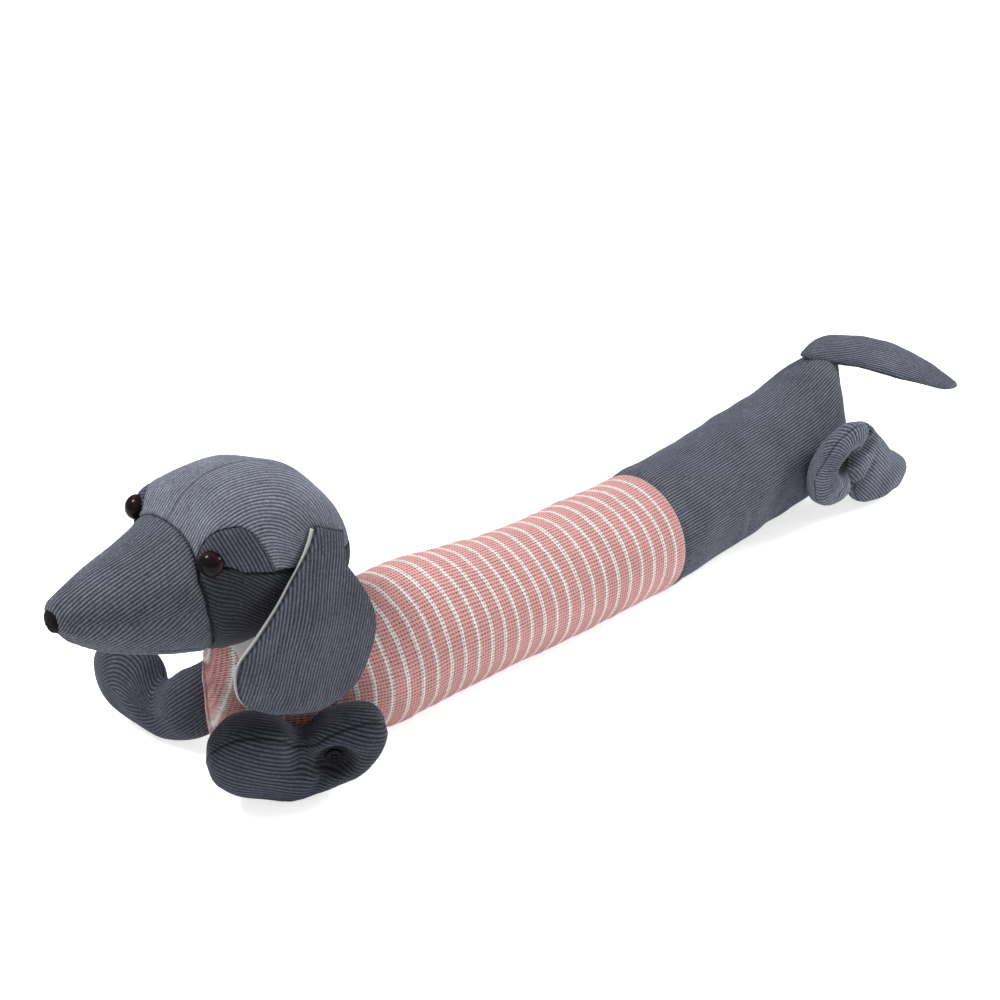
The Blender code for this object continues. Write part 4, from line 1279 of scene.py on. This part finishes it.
def ear_grid(rows, columns, out, widen, side, first=0.0, last=1.0):
    """A grid over an ear between two shares of its length, `out` from its middle and wider by
    `widen` (front, back)."""
    across = np.linspace(0, 1, columns)
    down = np.linspace(first, last, rows)
    front, back = (np.interp(down, *zip(*edge)) for edge in widen)
    grid = []
    fine = flow(EAR, 400)
    outline = np.column_stack([np.interp(down, np.linspace(0, 1, len(fine)), column) for column in fine.T])
    for (front_x, front_z, back_x, back_z, y), ahead, behind in zip(outline, front, back):
        wide = across * (1 + (ahead + behind) / (back_x - front_x)) - ahead / (back_x - front_x)
        xs = front_x + (back_x - front_x) * wide
        zs = front_z + (back_z - front_z) * wide
        ys = y - EAR_BOW * (1 - (2 * wide - 1) ** 2) - out
        grid.append(np.column_stack([xs, ys, zs]))
    points = np.array(grid)
    down = down[:, None]
    curl = EAR_CURL * eased(0.30 - across[None, :], 0.0, 0.30) * bell(down - 0.62, 0.28)
    fold = EAR_FOLD * bell(across[None, :] - 0.16 - 0.10 * (down - 0.5), 0.05) * bell(down - 0.66, 0.14)
    points[..., 1] -= fold - curl
    if side < 0:
        points[..., 1] = 2 * HEAD_Y - points[..., 1]
    return points


def build_ear(name, side):
    out = EAR_GAP + EAR_CLOTH
    plain, back = (ear_grid(*EAR_GRID, far, (PLAIN_EDGE, PLAIN_EDGE), side) for far in (out, EAR_GAP))
    normal = outward(plain, middle=(EAR_MIDDLE[0], HEAD_Y, EAR_MIDDLE[1]))
    rib = plain[..., 0] * EAR_RIBS[0] + plain[..., 2] * EAR_RIBS[1]
    run = plain[..., 2] * EAR_RIBS[0] - plain[..., 0] * EAR_RIBS[1]
    seam = to_edges(plain)
    move = -sizes().rib_depth * 0.7 * ribbed(rib, sizes().rib) - rolled(seam, EAR_CLOTH, 0.0016)
    move += puckered(seam, run, 81) + 0.0010 * lumps(plain, 0.05, 82) * eased(seam, 0, 0.02)
    cloth = Cloth()
    cloth.two_layers(plain + normal * move[..., None], back, rib=rib, run=run, seam=seam)
    # The slate at 0.85 here is painted shade on the ear's outer side.
    slate = corduroy("ear corduroy", colours().slate, 0.85, groove_shade=0.20)
    made = placed(cloth, f"ear_{name}", slate)


def build_lining(name, side):
    out = -EAR_GAP - EAR_CLOTH
    edges = (LINING_FRONT, LINING_BACK)
    face, inside = (ear_grid(*LINING_GRID, far, edges, side, *LINING_SPAN) for far in (-EAR_GAP, out))
    seam = to_edges(face)
    away = outward(inside, middle=(EAR_MIDDLE[0], -0.3 * side, EAR_MIDDLE[1]))
    inside = inside - away * rolled(seam, EAR_CLOTH, 0.0014)[..., None]
    cloth = Cloth()
    cloth.two_layers(face, inside, rib=arc(face, 1), run=arc(face, 0), seam=seam)
    made = placed(cloth, f"ear_lining_{name}", cotton("pale cotton"))


# ---- Tail ----


def build_tail():
    start, end = np.array(TAIL_FROM), np.array(TAIL_TO)
    heading = (end - start) / np.linalg.norm(end - start)
    aside = np.array([-heading[1], heading[0], 0.0])
    tilt = math.radians(TAIL_TILT)
    wide = math.cos(tilt) * aside + math.sin(tilt) * np.array([0.0, 0.0, 1.0])
    thick = np.cross([heading[0], heading[1], 0.0], wide)
    fine = flow(TAIL, TAIL_ROWS)
    angle = np.linspace(0, 2 * np.pi, 721)
    share = np.linspace(0, 1, TAIL_RIBS * RIB_COLUMNS, endpoint=False)
    rows = []
    for along, z, half_wide, half_thick in fine:
        a, b = half_wide * np.cos(angle), half_thick * np.sin(angle)
        line = np.concatenate([[0], np.cumsum(np.hypot(np.diff(a), np.diff(b)))])
        a, b = (np.interp(share * line[-1], line, value) for value in (a, b))
        aft = TAIL_SLANT * max(1 - along / TAIL_SLANT_LONG, 0.0) ** 2 * np.append(heading, 0.0)
        middle = np.append(start + (end - start) * along, z)
        rows.append(middle + a[:, None] * (wide + aft) + b[:, None] * thick)
    points = np.array(rows)
    fold = np.minimum(share, 1 - share)[None, :]
    rib = fold * TAIL_RIBS * sizes().rib + 0 * points[..., 0]
    run = arc(points, 0)
    off_seam = np.minimum(fold, 0.5 - fold) * TAIL_ROUND + 0 * run
    normal = outward(points, True, points.mean(axis=1, keepdims=True))
    size = eased(fine[:, 2], 0.002, 0.012)[:, None]
    move = -(sizes().rib_depth * ribbed(rib, sizes().rib) + rolled(off_seam, 0.0016, 0.0010)) * size
    move += (0.0005 * lumps(points, 0.03, 91) + puckered(off_seam, run, 92)) * size
    sewn_end, tip = points[0].mean(axis=0), points[-1].mean(axis=0)
    cloth = Cloth()
    cloth.filled(points + normal * move[..., None], sewn_end, tip, rib=rib, run=run, seam=off_seam)
    # The slate at 1.25 here is painted light: the tail is drawn lighter than the same slate on the body.
    slate = corduroy("tail corduroy", colours().slate, 1.25)
    placed(cloth, "tail", slate)


# ---- Legs and buttons ----


def from_line(spot, line):
    """How far places are from a line that starts at zero, and the share of it that they are along."""
    far = np.clip(spot @ line / (line @ line), 0, 1)
    return np.linalg.norm(spot - far[..., None] * line, axis=-1), far


class Leg:
    """One leg: the outline and marks of its kind, and the way that it stands and bends."""

    def __init__(self, name):
        self.kind = name.split("_")[0]
        self.rows, self.button, self.creases, self.folds, self.strip, slant = LEG_KINDS[self.kind]
        self.slant = math.radians(slant)
        self.middle, turn, bend, bend_at, self.lean, self.scale, self.side, self.inner = LEGS[name]
        self.along = np.linspace(self.rows[0][0], self.rows[-1][0], 200)
        share = np.clip((self.along - bend_at) / BEND_LENGTH + 0.5, 0, 1)
        self.heading = np.radians(turn + bend * share * share * (3 - 2 * share))
        step = np.gradient(self.along)
        run = np.column_stack([np.cumsum(part(self.heading) * step) for part in (np.cos, np.sin)])
        self.run = run - [np.interp(0.0, self.along, column) for column in run.T]

    def out(self, along):
        heading = np.interp(along, self.along, self.heading)
        return np.array([math.sin(heading), -math.cos(heading), 0.0]) * -self.side

    def sunk(self, along, up):
        """How much of the dimple's depth a place on the outer side has sunk."""
        spot = np.stack([0 * up + along, up], -1) - self.button
        away = np.hypot(spot[..., 0], self.scale * spot[..., 1])
        share = bell(np.maximum(away - DIMPLE_RADIUS, 0), DIMPLE_FADE)
        for end in self.creases:
            off, far = from_line(spot, np.subtract(end, self.button))
            share = np.maximum(share, CREASE_DEPTH * (1 - CREASE_FADE * far) * bell(off, CREASE_WIDTH))
        return share

    def folded(self, along, up):
        """How far the outer side is drawn in by its folds."""
        deep = 0 * up
        for from_at, from_up, to_at, to_up, wide, depth in self.folds:
            spot = np.stack([0 * up + along - from_at, up - from_up], -1)
            off, _ = from_line(spot, np.array([to_at - from_at, to_up - from_up]))
            deep = deep + depth * bell(off, wide)
        return deep

    def points(self, along, n, up):
        """World places at `n` out of the leg's middle and `up` its unscaled height."""
        place = [np.interp(along, self.along, column) for column in self.run.T]
        height = self.scale * np.asarray(up, float)
        centre = np.array([self.middle[0] + place[0], self.middle[1] + place[1], 0.0])
        aside = np.asarray(n, float) + self.lean * height
        return centre + aside[..., None] * self.out(along) + height[..., None] * np.array([0.0, 0.0, 1.0])


def leg_mesh(leg):
    """The leg's points, how far round each is from the floor's level, and how far from a seam, set to 0 in
    the button's hollow where the finish paints shade.
    """
    rows, columns = LEG_GRID
    angle = np.linspace(-np.pi, np.pi, 1441)
    share = np.linspace(0, 1, columns, endpoint=False)
    stations_at = flow(leg.rows, rows)[1:-1]
    points, arcs, seams = [], [], []
    for along, bottom, top, thick in stations_at:
        n = thick * rounded(np.cos(angle), 0.8) * np.where(np.cos(angle) < 0, leg.inner, 1.0)
        up = (bottom + top) / 2 + (top - bottom) / 2 * rounded(np.sin(angle), 0.85)
        line = np.concatenate([[0], np.cumsum(np.hypot(np.diff(n), np.diff(up)))])
        at = share * line[-1]
        n, up = (np.interp(at, line, value) for value in (n, up))
        strip = np.where(n > 0, np.abs(n - thick * leg.strip), 0.02)
        n = n - leg.folded(along, up) * eased(n, 0.0, 0.010)
        n = np.where(n > DIMPLE_FLOOR, n + (DIMPLE_FLOOR - n) * leg.sunk(along, up), n)
        points.append(leg.points(along, n, np.maximum(up, 0.0)))
        arcs.append(at - line[len(line) // 2] + (bottom + top) / 2)
        # Painted shade in the button's hollow: the seam mark falls to 0 there.
        hollow = leg.sunk(along, up) * eased(n, 0.0, DIMPLE_FLOOR)
        seams.append(np.minimum(strip, HOLLOW_SHADE * (1 - hollow)))
    return np.array(points), stations_at[:, :1], np.array(arcs), np.array(seams)


def build_leg(name, finish, pitch):
    leg = Leg(name)
    points, along, around, seam = leg_mesh(leg)
    normal = outward(points, True, points.mean(axis=1, keepdims=True))
    rib = around * math.cos(leg.slant) + along * math.sin(leg.slant)
    run = along * math.cos(leg.slant) - around * math.sin(leg.slant)
    if leg.kind == "hind":
        aside, above = along - leg.button[0], around - leg.button[1]
        thigh = aside - np.where(above > 0, *THIGH_SEAM) * above
        rib = np.where(thigh < 0, RADIAL * np.arctan2(above, -aside), rib)
        seam = np.minimum(seam, np.where(np.hypot(aside, above) < THIGH_LONG, np.abs(thigh), 0.02))
    size = eased(np.ptp(around, axis=1), 0.02, 0.08)[:, None]
    clear = eased(points[..., 2], 0.0, 0.004)
    move = -sizes().rib_depth * ribbed(rib, pitch) * size * clear
    move += 0.0007 * lumps(points, 0.03, 101) * size * clear - 0.0007 * bell(seam, 0.0012) * size
    start, end = (leg.points(row[0], np.array(0.0), row[1]) for row in (leg.rows[0], leg.rows[-1]))
    cloth = Cloth()
    cloth.filled(points + normal * move[..., None], start, end, rib=rib, run=run, seam=seam)
    placed(cloth, name, finish)


def cut_hole(made, at, out, aside, up):
    """Cuts one round hole through a button, along `out`."""
    ring = np.linspace(0, 2 * np.pi, 20, endpoint=False)
    circle = BUTTON_HOLE * (np.cos(ring)[:, None] * aside + np.sin(ring)[:, None] * up)
    back, front = at - HOLE_ROOM * out, at + (BUTTON_THICK + HOLE_ROOM) * out
    hole = Cloth()
    hole.filled(np.array([back + circle, front + circle]), back, front)
    cutter = hole.make("hole", plastic("black plastic"))
    cut = made.modifiers.new("hole", "BOOLEAN")
    cut.object, cut.operation, cut.solver = cutter, "DIFFERENCE", "EXACT"
    bpy.context.view_layer.update()
    data = bpy.data.meshes.new_from_object(made.evaluated_get(bpy.context.evaluated_depsgraph_get()))
    made.modifiers.clear()
    made.data = data
    bpy.data.objects.remove(cutter)


def build_button(name):
    leg = Leg(name)
    centre = leg.points(leg.button[0], np.array(DIMPLE_FLOOR + GAP), leg.button[1])
    out = leg.out(leg.button[0])
    up = np.array([0.0, 0.0, 1.0])
    aside = np.cross(out, up)
    rows, columns = BUTTON_GRID
    around = np.linspace(0, 2 * np.pi, columns, endpoint=False)
    flat = BUTTON_RADIUS * (np.cos(around)[:, None] * aside + np.sin(around)[:, None] * up)
    section = flow(BUTTON_SECTION, rows)
    points = np.array([centre + reach * flat + BUTTON_THICK * high * out for reach, high in section])
    cloth = Cloth()
    cloth.filled(points, centre, centre + BUTTON_SECTION[-1][1] * BUTTON_THICK * out)
    node = "button_" + name.replace("_leg", "")
    made = cloth.make(f"{node}_disc", plastic("black plastic"))
    for k in range(BUTTON_HOLES):
        turn = 2 * math.pi * (k + 0.5) / BUTTON_HOLES
        at = centre + BUTTON_HOLE_OUT * (math.sin(turn) * aside + math.cos(turn) * up)
        cut_hole(made, at, out, aside, up)
    made.data.set_sharp_from_angle(angle=math.radians(40))
    stand_for(made, node)


# ---- Stage ----


def area_light(name, at, target, size, power):
    data = bpy.data.lights.new(name, "AREA")
    data.shape, data.size, data.energy = "SQUARE", size, power
    made = bpy.data.objects.new(name, data)
    made.location = at
    made.rotation_euler = (Vector(target) - Vector(at)).to_track_quat("-Z", "Y").to_euler()
    bpy.context.scene.collection.objects.link(made)


def seen_by_camera(tree):
    return Wire(tree, tree.nodes.new("ShaderNodeLightPath").outputs["Is Camera Ray"])


def build_floor():
    """White paper that glows a little, more so where the camera looks at it."""
    xs, ys = np.meshgrid(np.linspace(-6, 6, 9), np.linspace(-6, 6, 9))
    cloth = Cloth()
    cloth.grid(np.stack([xs, ys, 0 * xs - 0.0002], -1))
    made, tree, shader = finish_material("floor paper", Roughness=0.9, Specular_IOR_Level=0.1)
    grain = noise(tree, place_in(tree), scale=40.0)
    paper = mixed(tree, grain, (0.90, 0.90, 0.91, 1.0), (0.93, 0.93, 0.935, 1.0))
    feed(tree, shader.inputs["Base Color"], paper)
    shader.inputs["Emission Color"].default_value = (1.0, 1.0, 1.0, 1.0)
    feed(tree, shader.inputs["Emission Strength"], seen_by_camera(tree) * 0.40 + 0.30)
    cloth.make("floor", made)


def build_world():
    """White to the camera, and a soft light from overhead to the cloth."""
    world = bpy.data.worlds.new("studio")
    world.use_nodes = True
    tree = world.node_tree
    place = tree.nodes.new("ShaderNodeSeparateXYZ")
    tree.links.new(tree.nodes.new("ShaderNodeTexCoord").outputs["Generated"], place.inputs[0])
    overhead = Wire(tree, place.outputs[2]).between(0.0, 0.9, 0.18, 0.52)
    background = tree.nodes["Background"]
    feed(tree, background.inputs["Strength"], overhead.math("MAXIMUM", seen_by_camera(tree)))
    background.inputs["Color"].default_value = (1.0, 1.0, 1.0, 1.0)
    bpy.context.scene.world = world


def build_camera():
    data = bpy.data.cameras.new("camera")
    data.lens, data.sensor_width, data.clip_start, data.clip_end = CAMERA_LENS, 36.0, 0.01, 50.0
    camera = bpy.data.objects.new("camera", data)
    camera.location = CAMERA_AT
    heading, pitch = math.radians(CAMERA_HEADING), math.radians(CAMERA_PITCH)
    level = math.cos(pitch)
    direction = Vector((math.sin(heading) * level, math.cos(heading) * level, -math.sin(pitch)))
    camera.rotation_euler = direction.to_track_quat("-Z", "Y").to_euler()
    bpy.context.scene.collection.objects.link(camera)
    bpy.context.scene.camera = camera


def build_stage():
    view = bpy.context.scene.view_settings
    view.view_transform, view.look = "Standard", "None"
    build_floor()
    build_world()
    area_light("key", (-1.06, 0.62, 1.8), (-0.1, 0.0, 0.1), 0.6, 33.0)
    area_light("fill", (1.60, -0.85, 1.20), (0.20, 0.0, 0.1), 0.6, 23.0)
    build_camera()


# ---- Operators, panel and start ----


class MakeBody(bpy.types.Operator):
    """Makes the long filled body of ribbed corduroy"""

    bl_idname = "dog.body"
    bl_label = "Body"

    def execute(self, context):
        build_body()
        return {"FINISHED"}


class MakeJumper(bpy.types.Operator):
    """Makes the striped knitted jumper"""

    bl_idname = "dog.jumper"
    bl_label = "Jumper"

    def execute(self, context):
        build_jumper()
        return {"FINISHED"}


class MakeHead(bpy.types.Operator):
    """Makes the muzzle, the back of the head and the cloths let into it"""

    bl_idname = "dog.head"
    bl_label = "Head"

    def execute(self, context):
        build_muzzle()
        for name, side in SIDES:
            build_crown(name, side)
        build_gusset()
        for name, side in SIDES:
            build_brow(name, side)
            build_cheek(name, side)
        return {"FINISHED"}


class MakeFace(bpy.types.Operator):
    """Makes the eyes and the nose"""

    bl_idname = "dog.face"
    bl_label = "Eyes and nose"

    def execute(self, context):
        build_eyes()
        build_nose()
        return {"FINISHED"}


class MakeNeckBand(bpy.types.Operator):
    """Makes the pale band under the head"""

    bl_idname = "dog.neck_band"
    bl_label = "Neck band"

    def execute(self, context):
        build_neck_band()
        return {"FINISHED"}


class MakeEars(bpy.types.Operator):
    """Makes both ears and their linings"""

    bl_idname = "dog.ears"
    bl_label = "Ears"

    def execute(self, context):
        for name, side in SIDES:
            build_ear(name, side)
            build_lining(name, side)
        return {"FINISHED"}


class MakeTail(bpy.types.Operator):
    """Makes the flat tail"""

    bl_idname = "dog.tail"
    bl_label = "Tail"

    def execute(self, context):
        build_tail()
        return {"FINISHED"}


class MakeLegs(bpy.types.Operator):
    """Makes the four legs and their buttons"""

    bl_idname = "dog.legs"
    bl_label = "Legs and buttons"

    def execute(self, context):
        navy = corduroy("front leg corduroy", colours().navy, wide=True)
        # The slate at 1.35 on the hind legs is painted light that makes them lighter than the same slate on
        # the body.
        slate = corduroy("hind leg corduroy", colours().slate, 1.35)
        for name in LEGS:
            if name.startswith("front"):
                build_leg(name, navy, sizes().wide_rib)
            else:
                build_leg(name, slate, sizes().rib)
            build_button(name)
        return {"FINISHED"}


class MakeStage(bpy.types.Operator):
    """Makes the floor, the light and the camera"""

    bl_idname = "dog.stage"
    bl_label = "Stage"

    def execute(self, context):
        build_stage()
        return {"FINISHED"}


class DogPanel(bpy.types.Panel):
    bl_label = "Draught excluder"
    bl_idname = "VIEW3D_PT_dog"
    bl_space_type = "VIEW_3D"
    bl_region_type = "UI"
    bl_category = "Draught excluder"

    def draw(self, context):
        for settings in (context.scene.dog_sizes, context.scene.dog_colours):
            for name in settings.bl_rna.properties.keys():
                if name not in ("rna_type", "name"):
                    self.layout.prop(settings, name)
        for operator in OPERATORS:
            self.layout.operator(operator.bl_idname)


OPERATORS = (MakeBody, MakeJumper, MakeHead, MakeFace, MakeNeckBand, MakeEars, MakeTail, MakeLegs, MakeStage)
CLASSES = (ClothSizes, ClothColours, *OPERATORS, DogPanel)


def register():
    for kind in CLASSES:
        bpy.utils.register_class(kind)
    bpy.types.Scene.dog_sizes = bpy.props.PointerProperty(type=ClothSizes)
    bpy.types.Scene.dog_colours = bpy.props.PointerProperty(type=ClothColours)


def unregister():
    del bpy.types.Scene.dog_sizes
    del bpy.types.Scene.dog_colours
    for kind in reversed(CLASSES):
        bpy.utils.unregister_class(kind)


def main():
    for old in list(bpy.data.objects):
        if old.name in ("Cube", "Light", "Camera"):
            bpy.data.objects.remove(old, do_unlink=True)
    register()
    corduroy_group()
    knit_group()
    weave_group()
    for operator in OPERATORS:
        area, name = operator.bl_idname.split(".")
        getattr(getattr(bpy.ops, area), name)()
    bpy.context.view_layer.update()


if __name__ == "__main__":
    main()
